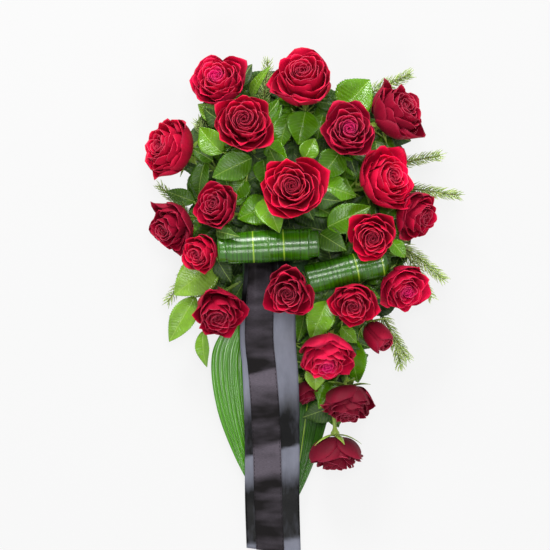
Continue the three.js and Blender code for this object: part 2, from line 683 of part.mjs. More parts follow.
function foam() {
  const { x0, x1, y0, y1, z0, z1, chamfer: c } = FOAM;
  const layer = (inset, z) => [
    vec(x0 + inset + c, y0 + inset, z), vec(x1 - inset - c, y0 + inset, z),
    vec(x1 - inset, y0 + inset + c, z), vec(x1 - inset, y1 - inset - c, z),
    vec(x1 - inset - c, y1 - inset, z), vec(x0 + inset + c, y1 - inset, z),
    vec(x0 + inset, y1 - inset - c, z), vec(x0 + inset, y0 + inset + c, z),
  ];
  const rings = [layer(0, z0), layer(0, z1 - c), layer(c, z1)];
  const brick = skin(rings, middle(rings[0]), middle(rings[2]));
  return brick.subtract(fuse(foamHoles()));
}

const FINISH = {
  petals: new THREE.MeshStandardMaterial({ color: "#8e0d20", roughness: 0.62, metalness: 0 }),
  rose_green: new THREE.MeshStandardMaterial({ color: "#3d7a2c", roughness: 0.45, metalness: 0 }),
  aspidistra: new THREE.MeshStandardMaterial({ color: "#1f7a12", roughness: 0.3, metalness: 0 }),
  spruce: new THREE.MeshStandardMaterial({ color: "#4f7a3a", roughness: 0.6, metalness: 0 }),
  satin: new THREE.MeshStandardMaterial({ color: "#1c1b1f", roughness: 0.35, metalness: 0 }),
  sheer: new THREE.MeshStandardMaterial({ color: "#2a2224", roughness: 0.7, metalness: 0 }),
  foam: new THREE.MeshStandardMaterial({ color: "#2f5a34", roughness: 0.95, metalness: 0 }),
  plastic: new THREE.MeshStandardMaterial({ color: "#17402a", roughness: 0.5, metalness: 0 }),
};

function meshOf(name, solid, material) {
  const { vertProperties, triVerts } = solid.getMesh();
  const geometry = new THREE.BufferGeometry();
  geometry.setAttribute("position", new THREE.BufferAttribute(vertProperties.slice(), 3));
  geometry.setIndex(new THREE.BufferAttribute(triVerts.slice(), 1));
  const mesh = new THREE.Mesh(geometry, material);
  mesh.name = name;
  return mesh;
}

const spray = new THREE.Group();
spray.name = "funeral_spray";
const add = (name, solid, material) => spray.add(meshOf(name, solid, material));

add("tray", tray(), FINISH.plastic);
add("foam", foam(), FINISH.foam);
ROSES.forEach((rose, i) => {
  add(roseName(i) + "_bloom", bloom(rose, i + 1), FINISH.petals);
  add(roseName(i) + "_stem", leafyStem(rose), FINISH.rose_green);
});
for (const [name, spec] of Object.entries(ROLLS)) add(name, rolledLeaf(spec), FINISH.aspidistra);
for (const [name, spec] of Object.entries(BLADES)) add(name, bladeLeaf(spec), FINISH.aspidistra);
Object.entries(SPRUCE).forEach(([name, spec], i) => {
  add(name, sprucePiece(spec, 100 + i), FINISH.spruce);
});
add("ribbon_wide", ribbon(WIDE_EDGES, 0, RIBBON_THICKNESS), FINISH.satin);
add(
  "ribbon_narrow",
  ribbon(NARROW_EDGES, 1.8, RIBBON_THICKNESS, RIBBON_LINE.length, 7),
  FINISH.sheer,
);

// The middle of the bottom of the whole spray is the origin.
const box = new THREE.Box3().setFromObject(spray);
const centre = box.getCenter(vec(0, 0, 0));
spray.position.set(-centre.x, -centre.y, -box.min.z);

export default spray;
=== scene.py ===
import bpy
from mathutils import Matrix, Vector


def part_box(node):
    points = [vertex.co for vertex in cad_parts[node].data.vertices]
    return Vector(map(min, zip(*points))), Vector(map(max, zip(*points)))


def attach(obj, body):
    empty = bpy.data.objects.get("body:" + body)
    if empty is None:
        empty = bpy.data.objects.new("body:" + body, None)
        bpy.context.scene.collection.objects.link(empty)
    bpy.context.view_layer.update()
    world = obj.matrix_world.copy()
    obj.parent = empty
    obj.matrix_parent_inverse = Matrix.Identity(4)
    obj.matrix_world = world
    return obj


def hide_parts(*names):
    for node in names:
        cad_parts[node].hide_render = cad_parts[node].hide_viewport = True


bl_info = {
    "name": "Funeral Rose Spray",
    "version": (1, 0, 0),
    "blender": (4, 5, 0),
    "location": "View3D > Sidebar > Rose Spray",
    "description": "A flat funeral spray of red roses with rolled leaves, spruce and two black ribbons",
    "category": "Add Mesh",
}

import math

import bpy
import numpy as np
from bpy.props import FloatProperty, FloatVectorProperty, IntProperty, PointerProperty

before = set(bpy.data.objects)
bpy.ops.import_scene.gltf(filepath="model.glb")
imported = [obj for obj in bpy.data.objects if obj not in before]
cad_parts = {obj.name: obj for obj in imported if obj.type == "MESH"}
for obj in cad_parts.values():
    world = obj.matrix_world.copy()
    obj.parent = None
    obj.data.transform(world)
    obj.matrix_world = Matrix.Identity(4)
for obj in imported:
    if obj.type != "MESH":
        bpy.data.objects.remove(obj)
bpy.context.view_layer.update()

MM = 0.001
# The spray's own millimetres are measured from the middle of the photograph. The holder's middle is at
# (10, 70) in them, and the frame says where that is in the row frame.
HOLDER_MIDDLE = np.array([10.0, 70.0, 0.0])
TRAY_LOW, TRAY_HIGH = (np.array(corner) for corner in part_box("tray"))
ORIGIN = (TRAY_LOW + TRAY_HIGH) / 2 * [1, 1, 0] - HOLDER_MIDDLE * MM

GOLDEN_ANGLE = math.pi * (3 - math.sqrt(5))
BLOOM_HEIGHT = 1.15  # of its radius
BUD_HEIGHT = 1.9  # of its radius
SMALL_BLOOM = 39  # mm radius: a smaller bloom has fewer petals
STEM_POINTS = 24  # along a rose stem
ENDS = 4  # points at each end of a stem that carry no low leaf
PETAL_POINTS = 12  # along each side of a petal's grid
PHASES = 6.28  # the range of a random phase, about a full turn
SEEDS = dict(blooms=40, stems=300, spruce=700, fillers=900, under=77, ribbons=5)
STALK_RADIUS = 0.9  # mm, of a rose leaf
STALK_TONE = 0.6  # shade of a leaf stalk, from 0, dark, to 1, pale
ROLL_STALK_RADIUS = 2.2  # mm, of a rolled leaf
THICK_LEAF = 0.7  # mm, of an aspidistra leaf
FOAM_CLEAR = 7  # mm that a leaf keeps over the foam
LOWEST_LEAF = 14  # mm over the table
UNDER_LEAVES = (22, 13)  # rows and columns of the low leaves' grid
UNDER_CORNER = np.array([-165, -275])  # mm, where that grid starts
UNDER_STEP = np.array([30, 26])  # mm from leaf to leaf

# The roses, in millimetres and degrees, as in the part's source, but that some blooms' radius and tilt
# follow the photograph more closely here. x, y, z is the middle of the bloom, tilt and heading say where
# it faces, and root is where its stem ends in the foam. finish is one of PETAL_FINISHES, and flare is how
# far the petals curl and ruffle. sepals is the sepals' reach as a share of the radius, clasp how far they
# close up round the bloom, and crook how much of the stem's top end follows the bloom's axis.
# A leaf leaves the stem at the share `on` of its length and runs from its foot to its tip. arch is its
# rise as a share of its length, and tone its shade, from 0, dark, to 1, pale. A coarse leaf has fewer
# points, because it lies low down.
ROSES = [
    dict(
        x=-76, y=266, z=112, radius=41, tilt=27, heading=124, root=[-12, 152, 46], finish="magenta_heart",
        leaves=[
            dict(on=0.55, foot=[-33, 247, 84], tip=[-6, 288, 112], width=16, roll=-25, tone=0.66),
        ],
    ),
    dict(
        x=40, y=266, z=138, radius=47, tilt=35, heading=105, root=[14, 158, 62], finish="crimson",
        leaves=[
            dict(on=0.6, foot=[42, 226, 108], tip=[32, 179, 116], width=46, arch=0.1, tone=0.42),
            dict(on=0.66, foot=[22, 224, 98], tip=[7, 172, 102], width=32, roll=20),
            dict(on=0.3, foot=[-10, 180, 108], tip=[18, 154, 132], width=28),
        ],
    ),
    dict(
        x=-42, y=205, z=165, radius=43, tilt=12, heading=90, root=[-4, 128, 62], finish="crimson",
        leaves=[
            dict(on=0.66, foot=[-72, 212, 103], tip=[-107, 237, 95], width=26, tone=0.7),
            dict(on=0.38, foot=[-72, 168, 116], tip=[-104, 204, 112], width=36, roll=-15),
            dict(on=0.4, foot=[-16, 158, 108], tip=[-12, 118, 122], width=31),
        ],
    ),
    dict(
        x=-145, y=174, z=110, radius=46, tilt=53, heading=163, root=[-28, 112, 44], finish="crimson",
        flare=1.2, sepals=0.7,
        leaves=[
            dict(on=0.62, foot=[-96, 160, 92], tip=[-106, 106, 78], width=28, roll=20),
            dict(on=0.5, foot=[-86, 158, 98], tip=[-117, 176, 104], width=18),
        ],
    ),
    dict(
        x=100, y=195, z=157, radius=40, tilt=8, heading=90, root=[36, 128, 64], finish="magenta_deep",
        leaves=[
            dict(on=0.6, foot=[90, 170, 118], tip=[62, 131, 118], width=42, arch=0.14),
            dict(on=0.72, foot=[92, 226, 108], tip=[131, 270, 106], width=56, arch=0.06, tone=0.56),
            dict(on=0.66, foot=[66, 222, 104], tip=[58, 188, 98], width=26),
        ],
    ),
    dict(
        x=168, y=223, z=112, radius=46, tilt=50, heading=35, root=[50, 146, 44], finish="dull",
        flare=1.45, sepals=0.7,
        leaves=[
            dict(on=0.6, foot=[140, 186, 92], tip=[142, 156, 98], width=28),
        ],
    ),
    dict(
        x=24, y=117, z=178, radius=46, tilt=8, heading=135, root=[12, 98, 62], finish="bright",
        leaves=[
            dict(on=0.7, foot=[-14, 106, 130], tip=[6, 57, 160], width=40, arch=0.06, tone=0.6),
            dict(on=0.6, foot=[40, 158, 130], tip=[55, 187, 126], width=28),
        ],
    ),
    dict(
        x=150, y=130, z=130, radius=45, tilt=38, heading=20, root=[48, 108, 56], finish="bright",
        leaves=[
            dict(on=0.5, foot=[98, 150, 110], tip=[104, 119, 138], width=14, roll=60),
            dict(on=0.34, foot=[62, 126, 112], tip=[112, 108, 114], width=36, tone=0.55),
        ],
    ),
    dict(
        x=196, y=85, z=98, radius=38, tilt=52, heading=-25, root=[56, 84, 42], finish="deep", flare=1.2,
        leaves=[
            dict(on=0.7, foot=[148, 96, 78], tip=[168, 84, 92], width=20),
        ],
    ),
    dict(
        x=133, y=52, z=146, radius=36, tilt=12, heading=-110, root=[46, 64, 64], finish="bright",
        leaves=[
            dict(on=0.5, foot=[72, 66, 120], tip=[131, 94, 130], width=40, arch=0.05, tone=0.36),
            dict(on=0.6, foot=[160, 48, 108], tip=[180, 24, 106], width=22),
            dict(on=0.36, foot=[62, 57, 112], tip=[98, 34, 122], width=34),
        ],
    ),
    dict(
        x=-79, y=93, z=143, radius=34, tilt=28, heading=150, root=[-16, 84, 64], finish="deep",
        leaves=[
            dict(on=0.55, foot=[-32, 160, 128], tip=[-86, 134, 124], width=42, arch=0.1, tone=0.28),
            dict(on=0.5, foot=[-40, 134, 112], tip=[-60, 104, 104], width=32),
            dict(on=0.46, foot=[-4, 98, 102], tip=[-52, 78, 102], width=44, tone=0.5),
            dict(on=0.8, foot=[-80, 60, 136], tip=[-48, 52, 158], width=18),
        ],
    ),
    dict(
        x=-143, y=68, z=100, radius=39.5, tilt=48, heading=210, root=[-32, 76, 46], finish="dull",
        flare=1.45, sepals=0.7,
        leaves=[
            dict(on=0.6, foot=[-112, 102, 84], tip=[-152, 117, 80], width=24),
        ],
    ),
    dict(
        x=-101, y=30, z=128, radius=30, tilt=35, heading=205, root=[-30, 46, 58], finish="crimson",
        leaves=[
            dict(on=0.6, foot=[-80, 20, 86], tip=[-141, -28, 76], width=54, arch=0.06, tone=0.84),
        ],
    ),
    dict(
        x=-79, y=-50, z=106, radius=39, tilt=32, heading=-85, root=[-28, 4, 56], finish="deep", flare=1.5,
        leaves=[
            dict(on=0.3, foot=[-36, 2, 56], tip=[-60, -40, 56], width=30, roll=10, tone=0.12, coarse=True),
            dict(on=0.6, foot=[-112, -30, 70], tip=[-149, -94, 58], width=36, arch=0.08, tone=0.72),
            dict(on=0.7, foot=[-100, -78, 62], tip=[-96, -130, 56], width=22, roll=25, tone=0.66),
        ],
    ),
    dict(
        x=19, y=-23, z=152, radius=37, tilt=14, heading=235, root=[46, -2, 60], finish="deep", flare=1.2,
        crook=0.15,
    ),
    dict(
        x=108, y=-38, z=122, radius=35, tilt=22, heading=-105, root=[54, 4, 46], finish="crimson",
        sepals=0.5,
        leaves=[
            dict(on=0.3, foot=[44, -30, 50], tip=[32, -94, 58], width=30, roll=-12, tone=0.3, coarse=True),
            dict(on=0.5, foot=[72, -36, 98], tip=[50, -90, 98], width=40, arch=0.12, tone=0.62),
            dict(on=0.6, foot=[92, -72, 84], tip=[114, -95, 82], width=22),
        ],
    ),
    dict(
        x=177, y=-16, z=101, radius=38, tilt=34, heading=-55, root=[56, 40, 44], finish="magenta_heart",
        sepals=0.4,
    ),
    dict(
        x=144, y=-86, z=82, radius=24, tilt=62, heading=-50, root=[56, 14, 30], finish="dull", sepals=1.3,
        clasp=0.6, bud=True,
    ),
    dict(
        x=72, y=-112, z=108, radius=43, tilt=46, heading=-92, root=[42, -14, 46], finish="magenta_heart",
        flare=1.7,
        leaves=[
            dict(on=0.6, foot=[56, -124, 72], tip=[57, -162, 68], width=30, tone=0.85),
        ],
    ),
    dict(
        x=102, y=-179, z=84, radius=41, tilt=68, heading=-88, root=[52, -20, 34], finish="dark",
        flare=1.4, sepals=0.8,
        leaves=[
            dict(on=0.55, foot=[108, -86, 66], tip=[118, -152, 50], width=44, roll=20, tone=0.45),
        ],
    ),
    dict(
        x=86, y=-252, z=53, radius=41, tilt=84, heading=-88, root=[38, -22, 34], finish="dark",
        flare=1.35, sepals=0.9, clasp=0.4,
    ),
    dict(
        x=45, y=-166, z=38, radius=25, tilt=75, heading=-60, root=[26, -20, 32], finish="dark",
    ),
]

# Each spruce twig's line, the share of it that has no needles, and its side arms.
SPRUCE = {
    "spruce_top": dict(line=[[0, 168, 40], [-16, 215, 74], [-10, 296, 100]], bare=0.42),
    "spruce_top_right": dict(line=[[48, 168, 36], [120, 246, 62], [188, 280, 84]], bare=0.6),
    "spruce_right_upper": dict(line=[[56, 132, 30], [150, 152, 48], [230, 167, 82]], bare=0.5),
    "spruce_right_middle": dict(line=[[56, 98, 30], [165, 122, 44], [256, 112, 78]], bare=0.55),
    "spruce_right_lower": dict(
        line=[[56, 56, 30], [168, 44, 66], [236, -6, 80]], bare=0.5,
        arms=[dict(line=[[150, 48, 58.5], [190, 22, 56], [220, -32, 66]], bare=0.3)],
    ),
    "spruce_low_right": dict(
        line=[[56, 26, 34], [138, -42, 38], [187, -118, 56]], bare=0.6,
        arms=[dict(line=[[160, -71, 45], [172, -102, 42], [178, -130, 44]], bare=0.25)],
    ),
    "spruce_left": dict(
        line=[[-34, 60, 28], [-95, 40, 38], [-152, -38, 48]], bare=0.5,
        arms=[dict(line=[[-80, 47, 35], [-120, 80, 42], [-162, 126, 58]], bare=0.5)],
    ),
    "spruce_left_upper": dict(line=[[-34, 132, 32], [-80, 172, 60], [-108, 214, 84]], bare=0.5),
}

# The long blades' middle line, width in millimetres, the share of the line that is stalk, how far the
# blade leans to one side, and its shade.
BLADES = {
    "blade_left": dict(
        line=[
            [-16, -24, 50], [-30, -62, 60], [-43, -110, 53], [-40, -190, 34], [-30, -262, 16],
            [-21, -324, 7],
        ],
        width=92, start=0.12, lean=6, tone=0.7,
    ),
    "blade_right": dict(
        line=[
            [58, -24, 31], [60, -46, 30], [58, -86, 14], [53, -122, 9], [46, -190, 6.5], [35, -270, 4.5],
            [20, -344, 3],
        ],
        width=82, start=0.14, lean=0, tone=0.15,
    ),
}

# Leaves rolled to a tube: the sheet winds round the line from `start` to `end`. low and high say where
# its two side edges lie along the roll, each as its share of the length at the inner and at the outer
# end, and how steep and how late the step between them is. stalk is where the stalk meets the roll and
# where it ends in the foam. midribs are the shares of the length where the paler midribs show.
ROLLS = {
    "leaf_roll_left": dict(
        start=[-78, 37, 130], end=[60, 44, 130], inner=17, outer=23.4, turns=1.8, low=(0, 0.1, 2, 0.7),
        high=(1, 0.9, 2, 0.5), stalk=(0.77, [30, 42, 60]), midribs=[0.35, 0.65],
    ),
    "leaf_roll_right": dict(
        start=[42, -6, 107], end=[154, 21, 101], inner=15.5, outer=22.4, turns=1.7, low=(0.05, 0, 1, 0),
        high=(1, 0.96, 1, 0), stalk=(0.1, [50, 8, 54]), midribs=[0.62, 0.93],
    ),
}
ROLL_END_ANGLE = 290  # degrees round the roll, where its outer edge lies

# The middle line of both ribbons, from the slot in the foam to their cut ends.
RIBBON_LINE = [
    [-13, 31, 62], [-13, 30.5, 80], [-13, 27, 92.5], [-12, 17, 96], [-11, -8, 94.5], [-10, -38, 90],
    [-10, -91, 76], [-7, -130, 69], [-5, -176, 66], [-4, -245, 42], [-4, -322, 19], [-2, -393, 4],
]
RIBBON_WIDE = 78
RIBBON_NARROW = 40
RIBBON_PLEATS = 4  # flat strips where the ribbons are tucked in
RIBBON_GRID = (200, 25)  # points along and across
RIBBON_MIDDLE, RIBBON_TOP, RIBBON_CLEAR = -12, 44, 47  # x, highest y and half width kept free of leaves
# Patches of painted sheen along each ribbon, highlights painted into its colour, in millimetres from the
# tucked end, as ribbon_cloth describes.
RIBBON_SHEEN = {
    "ribbon_wide": [(80, 50, 205, 70, 0.95), (314, 5, 335, 50, 1.0), (446, 8, 470, 5, 0.8)],
    "ribbon_narrow": [(50, 30, 110, 40, 0.4), (192, 4, 205, 40, 0.8), (298, 14, 330, 40, 0.9)],
}


# The edge of the spray's body, seen from above: filler leaves stay inside it.
OUTLINE = [
    (-76, 296), (40, 300), (140, 262), (190, 200), (200, 85), (180, -20), (150, -80), (112, -170), (90, -240),
    (40, -200), (20, -60), (-80, -60), (-120, 10), (-145, 70), (-118, 110), (-140, 175), (-110, 225),
]
# The foam brick's reach in the same millimetres.
FOAM_LOW, FOAM_HIGH = ((np.array(corner) - ORIGIN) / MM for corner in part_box("foam"))

FLOOR_REACH = 6.0  # metres
# The lights' places and sizes in metres, and their power as a share of the key light's.
LIGHTS = {
    "key": ((-0.5, 1.9, 1.5), 0.75, 1.0),
    "top": ((0.1, 0.45, 2.4), 0.5, 0.4),
    "front": ((0.12, -1.12, 2.2), 0.7, 0.4),
}


def linear(code):
    """An sRGB hex colour as linear RGBA."""
    values = np.array([int(code[i : i + 2], 16) / 255 for i in (1, 3, 5)])
    bright = ((values + 0.055) / 1.055) ** 2.4
    return (*np.where(values > 0.04045, bright, values / 12.92).tolist(), 1.0)


# Petal finishes: the colour of the outer petals and of the heart. Real blooms of one bunch differ this
# much with age. Where a heart colour is darker than its outer petals', that darkness is painted shade
# deep in the bloom; the magenta hearts are the blooms' own colour.
PETAL_FINISHES = {
    "bright": ("#e4083d", "#9c0629"),
    "crimson": ("#cc0836", "#8c0525"),
    "deep": ("#b00630", "#7c0420"),
    "dull": ("#98062a", "#72041c"),
    "dark": ("#6e041e", "#5a0316"),
    "magenta_heart": ("#dc1043", "#cc1163"),
    "magenta_deep": ("#be0e3a", "#c41060"),
}
# Aspidistra finishes: the dark and light ends of the colour, the bands' swing, roughness and specular.
ROLL_FINISH = ("#123000", "#2c6000", 0.42, 0.25, 0.56)
BLADE_FINISH = ("#1a4200", "#448600", 0.35, 0.24, 0.42)


def lerp(a, b, t):
    """The value at the share t of the way from a to b."""
    return a + (b - a) * t


def smooth(t):
    """0 below 0, 1 above 1, and a smooth step between."""
    t = np.clip(t, 0, 1)
    return t * t * (3 - 2 * t)


def unit(vectors):
    """The vectors divided by their lengths."""
    vectors = np.asarray(vectors, float)
    return vectors / np.linalg.norm(vectors, axis=-1, keepdims=True)


def axis_of(tilt, heading):
    """Unit vector that leans by tilt degrees from straight up, towards the heading."""
    lean, turn = math.radians(tilt), math.radians(heading)
    return np.array([math.sin(lean) * math.cos(turn), math.sin(lean) * math.sin(turn), math.cos(lean)])


def sides(direction):
    """Two unit vectors square to each direction."""
    direction = np.asarray(direction, float)
    steep = np.abs(direction[..., 2:]) > 0.95
    helper = np.where(steep, [0.0, 1.0, 0.0], [0.0, 0.0, 1.0])
    right = unit(np.cross(helper, direction))
    return right, unit(np.cross(direction, right))


def frames_along(points):
    """Tangents and two side vectors along a path, carried from ring to ring without twisting."""
    tangents = unit(np.gradient(points, axis=0))
    right = sides(tangents[0])[0]
    rights = []
    for tangent in tangents:
        right = unit(right - tangent * (right @ tangent))
        rights.append(right)
    rights = np.array(rights)
    return tangents, rights, np.cross(tangents, rights)


def catmull(points, t):
    """Centripetal Catmull-Rom curve through the points. t runs from 0 to 1, an equal share for each
    span between two points."""
    p = np.asarray(points, float)
    p = np.vstack([2 * p[0] - p[1], p, 2 * p[-1] - p[-2]])
    spans = len(p) - 3
    place = np.clip(np.asarray(t, float), 0, 1) * spans
    index = np.minimum(place.astype(int), spans - 1)
    w = (place - index)[:, None]
    a, b, c, d = (p[index + i] for i in range(4))

    def gap(u, v):
        """The square root of the distance from u to v, never nothing."""
        return np.maximum(np.sum((u - v) ** 2, axis=1, keepdims=True), 1e-12) ** 0.25

    before, span, after = gap(a, b), gap(b, c), gap(c, d)
    leave = ((b - a) / before - (c - a) / (before + span) + (c - b) / span) * span
    arrive = ((c - b) / span - (d - b) / (span + after) + (d - c) / after) * span
    return (
        b + leave * w + (3 * (c - b) - 2 * leave - arrive) * w**2 + (2 * (b - c) + leave + arrive) * w**3
    )


def bezier(points, t):
    """Bezier curve over its control points by repeated lerp. Each point is an array that t broadcasts to."""
    points = list(points)
    while len(points) > 1:
        points = [lerp(a, b, t) for a, b in zip(points, points[1:])]
    return points[0]


def grid_quads(rows, columns, wrap=False):
    """Corner numbers of the quads of one grid. wrap joins its last column to its first."""
    i, j = np.meshgrid(np.arange(rows - 1), np.arange(columns - (not wrap)), indexing="ij")
    k = (j + 1) % columns
    corners = [i * columns + j, i * columns + k, (i + 1) * columns + k, (i + 1) * columns + j]
    return np.stack([corner.ravel() for corner in corners], axis=1)


class Patches:
    """Grids of points in the spray's millimetres that end up in one mesh. With each point go its place
    on its own grid, from 0 to 1 (the UV map `grid`), its place on the flattened piece in millimetres
    (`flat`), the shade of its leaf or petal (`tone`) and how far out its petal lies (`layer`)."""

    def __init__(self):
        self.points, self.grids, self.flats, self.tones, self.layers = [], [], [], [], []
        self.faces, self.slots, self.count = [], [], 0

    def add(self, points, flat=None, tone=0.5, layer=0.5, slot=0, wrap=False, turn=False, tips=None):
        """points has the shape (patches, rows, columns, 3). turn swaps the side that the faces look to.
        tips, one point for each patch, closes the last row of a wrapped grid to a point."""
        points = np.asarray(points, float)
        patches, rows, columns, _ = points.shape
        size = rows * columns
        v, u = np.meshgrid(np.linspace(0, 1, rows), np.linspace(0, 1, columns), indexing="ij")
        grid = np.broadcast_to(np.stack([u, v], axis=-1), (patches, rows, columns, 2)).reshape(-1, 2)
        shape = (patches, rows, columns)
        flat = np.zeros((*shape, 2)) if flat is None else np.broadcast_to(flat, (*shape, 2))
        quads = grid_quads(rows, columns, wrap)
        if turn:
            quads = quads[:, ::-1]
        shift = self.count + np.arange(patches)[:, None, None] * size
        self.faces.append((quads[None] + shift).reshape(-1, 4))
        self.slots.append(np.full(patches * len(quads), slot))
        self.points.append(points.reshape(-1, 3))
        self.grids.append(grid)
        self.flats.append(flat.reshape(-1, 2))
        self.tones.append(np.broadcast_to(tone, shape).ravel())
        self.layers.append(np.broadcast_to(layer, shape).ravel())
        self.count += patches * size
        if tips is not None:
            last = shift[:, 0] + size - columns + np.arange(columns)[None]
            tip = self.count + np.arange(patches)[:, None] + np.zeros((1, columns), int)
            closing = np.stack([last, np.roll(last, -1, axis=1), tip], axis=-1)
            self.faces.append(closing[..., ::-1].reshape(-1, 3) if turn else closing.reshape(-1, 3))
            self.slots.append(np.full(patches * columns, slot))
            self.points.append(np.asarray(tips, float))
            self.grids.append(np.tile([0.5, 1.0], (patches, 1)))
            self.flats.append(flat[:, -1, 0])
            self.tones.append(np.broadcast_to(tone, shape)[:, -1, 0])
            self.layers.append(np.broadcast_to(layer, shape)[:, -1, 0])
            self.count += patches

    def build(self, name, materials, nodes, thickness=0.0, back=False):
        """Makes the mesh object. It rides on the root body and stands for the CAD nodes."""
        mesh = bpy.data.meshes.new(name)
        points = np.concatenate(self.points) * MM + ORIGIN
        sizes = np.concatenate([np.full(len(part), part.shape[1]) for part in self.faces])
        corners = np.concatenate([part.ravel() for part in self.faces])
        mesh.vertices.add(len(points))
        mesh.vertices.foreach_set("co", points.ravel())
        mesh.loops.add(len(corners))
        mesh.loops.foreach_set("vertex_index", corners)
        mesh.polygons.add(len(sizes))
        mesh.polygons.foreach_set("loop_start", np.cumsum(sizes) - sizes)
        mesh.polygons.foreach_set("material_index", np.concatenate(self.slots))
        mesh.update(calc_edges=True)
        grid = np.concatenate(self.grids)
        mesh.uv_layers.new(name="grid").data.foreach_set("uv", grid[corners].ravel())
        flat = np.concatenate(self.flats)
        flat = np.hstack([flat, np.zeros((len(flat), 1))])
        mesh.attributes.new("flat", "FLOAT_VECTOR", "POINT").data.foreach_set("vector", flat.ravel())
        mesh.attributes.new("tone", "FLOAT", "POINT").data.foreach_set("value", np.concatenate(self.tones))
        mesh.attributes.new("layer", "FLOAT", "POINT").data.foreach_set("value", np.concatenate(self.layers))
        mesh.validate()
        mesh.shade_smooth()
        for material in materials:
            mesh.materials.append(material)
        piece = bpy.data.objects.new(name, mesh)
        bpy.context.collection.objects.link(piece)
        if thickness:
            shell = piece.modifiers.new("thickness", "SOLIDIFY")
            shell.thickness = thickness * MM
            shell.offset = 0
            shell.material_offset = 1 if back else 0
        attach(piece, "root")
        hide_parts(*nodes)
        return piece


# Materials.


def add_node(tree, kind, *inputs, named=None, **settings):
    """Adds a node of that kind. inputs fill its sockets in order and named fills them by name. Each is a
    value, a socket, or a node whose first output is taken, and None leaves its socket alone."""
    made = tree.nodes.new("ShaderNode" + kind)
    for key, value in settings.items():
        setattr(made, key, value)
    for key, value in [*enumerate(inputs), *(named or {}).items()]:
        if value is None:
            continue
        if isinstance(value, bpy.types.Node):
            value = value.outputs[0]
        if isinstance(value, bpy.types.NodeSocket):
            tree.links.new(value, made.inputs[key])
        else:
            made.inputs[key].default_value = value
    return made


def new_material(name, **constants):
    """A material and its node tree and shader. constants set the shader's own sockets, with _ for each
    space in their names."""
    material = bpy.data.materials.new(name)
    material.use_nodes = True
    tree = material.node_tree
    shader = tree.nodes["Principled BSDF"]
    for key, value in constants.items():
        shader.inputs[key.replace("_", " ")].default_value = value
    return material, tree, shader


def velvet_petal(name, outer, heart, back=False):
    """Rose petal, grown. Its skin of tiny cones is dull and velvety, with a soft bloom where it turns
    away. Colour runs from the dark heart to the brighter outer petals, the heart's darkness painted
    shade deep in the bloom, and darkens into each petal's foot, painted shade between the petals. Fine
    veins fan out from the foot. A pale line along the rim is a painted highlight, and the petal glows
    faintly in its own colour, a painted light. The back is duller and a little greyer."""
    # Emission Strength makes the petal glow faintly: painted light.
    material, tree, shader = new_material(
        name, Roughness=0.62 if back else 0.5, Specular_IOR_Level=0.12, Sheen_Weight=0.05 if back else 0.14,
        Sheen_Roughness=0.35, Sheen_Tint=linear("#ff6f86"), Emission_Strength=0.06,
    )
    layer = add_node(tree, "Attribute", attribute_name="layer").outputs["Fac"]
    tone = add_node(tree, "Attribute", attribute_name="tone").outputs["Fac"]
    flat = add_node(tree, "Attribute", attribute_name="flat").outputs["Vector"]
    place = add_node(tree, "SeparateXYZ", add_node(tree, "UVMap", uv_map="grid"))
    # From the heart colour to the outer one by layer: the heart's darkness is painted shade deep in the
    # bloom.
    outness = add_node(tree, "MapRange", layer, 0.12, 0.5, interpolation_type="SMOOTHSTEP")
    colour = add_node(tree, "MixRGB", outness, linear(heart), linear(outer))
    # Veins 1.2 mm apart, long along the petal.
    stretch = add_node(tree, "VectorMath", flat, (0.85, 0.07, 1.0), operation="MULTIPLY")
    veins = add_node(tree, "TexNoise", named={"Vector": stretch, "Scale": 1.0, "Detail": 3.0})
    clouds = add_node(tree, "TexNoise", named={"Vector": flat, "Scale": 0.06, "Detail": 2.0})
    shade = add_node(tree, "MapRange", veins, 0.3, 0.7, 0.86, 1.08)
    # Each petal darkens towards its foot: painted shade deep between the petals.
    foot = add_node(tree, "MapRange", place.outputs["Y"], 0.15, 0.88, 0.3, 1.08)
    bright = add_node(tree, "MapRange", tone, 0.0, 1.0, 0.86, 1.12)
    shade = add_node(tree, "Math", shade, foot, operation="MULTIPLY")
    shade = add_node(tree, "Math", shade, bright, operation="MULTIPLY")
    patch = add_node(tree, "MapRange", clouds, 0.3, 0.7, 0.78, 1.14)
    shade = add_node(tree, "Math", shade, patch, operation="MULTIPLY")
    colour = add_node(tree, "HueSaturation", named={"Value": shade, "Color": colour})
    # A paler pink line under a millimetre wide along the rim: a painted highlight where the rims catch the
    # light, stronger on the outer petals.
    rim = add_node(tree, "MapRange", place.outputs["Y"], 0.965, 0.985, interpolation_type="SMOOTHSTEP")
    rim_highlight_strength = add_node(tree, "MapRange", layer, 0.1, 0.5, 0.22, 0.55)
    rim = add_node(tree, "Math", rim, rim_highlight_strength, operation="MULTIPLY")
    colour = add_node(tree, "MixRGB", rim, colour, linear("#bd4c66"))
    # The oldest, outermost petals go dull and purplish towards the rim.
    oldest = add_node(tree, "MapRange", layer, 0.78, 0.95, interpolation_type="SMOOTHSTEP")
    aged = add_node(tree, "MapRange", place.outputs["Y"], 0.7, 1.0, 0.0, 0.6, interpolation_type="SMOOTHSTEP")
    aged = add_node(tree, "Math", oldest, aged, operation="MULTIPLY")
    colour = add_node(tree, "MixRGB", aged, colour, linear("#6e0f2c"))
    if back:
        colour = add_node(tree, "MixRGB", 0.35, colour, linear("#5c0a20"))
    tree.links.new(colour.outputs[0], shader.inputs["Base Color"])
    # Painted light: each petal glows faintly in its own colour, which stands in for the light that comes
    # through the thin petals and fills the depths between them with red.
    tree.links.new(colour.outputs[0], shader.inputs["Emission Color"])
    grain = add_node(tree, "TexNoise", named={"Vector": flat, "Scale": 1.6, "Detail": 4.0})
    height = add_node(tree, "Math", veins, grain, operation="ADD")
    bump = add_node(tree, "Bump", named={"Strength": 0.28, "Distance": 0.0004, "Height": height})
    tree.links.new(bump.outputs[0], shader.inputs["Normal"])
    return material


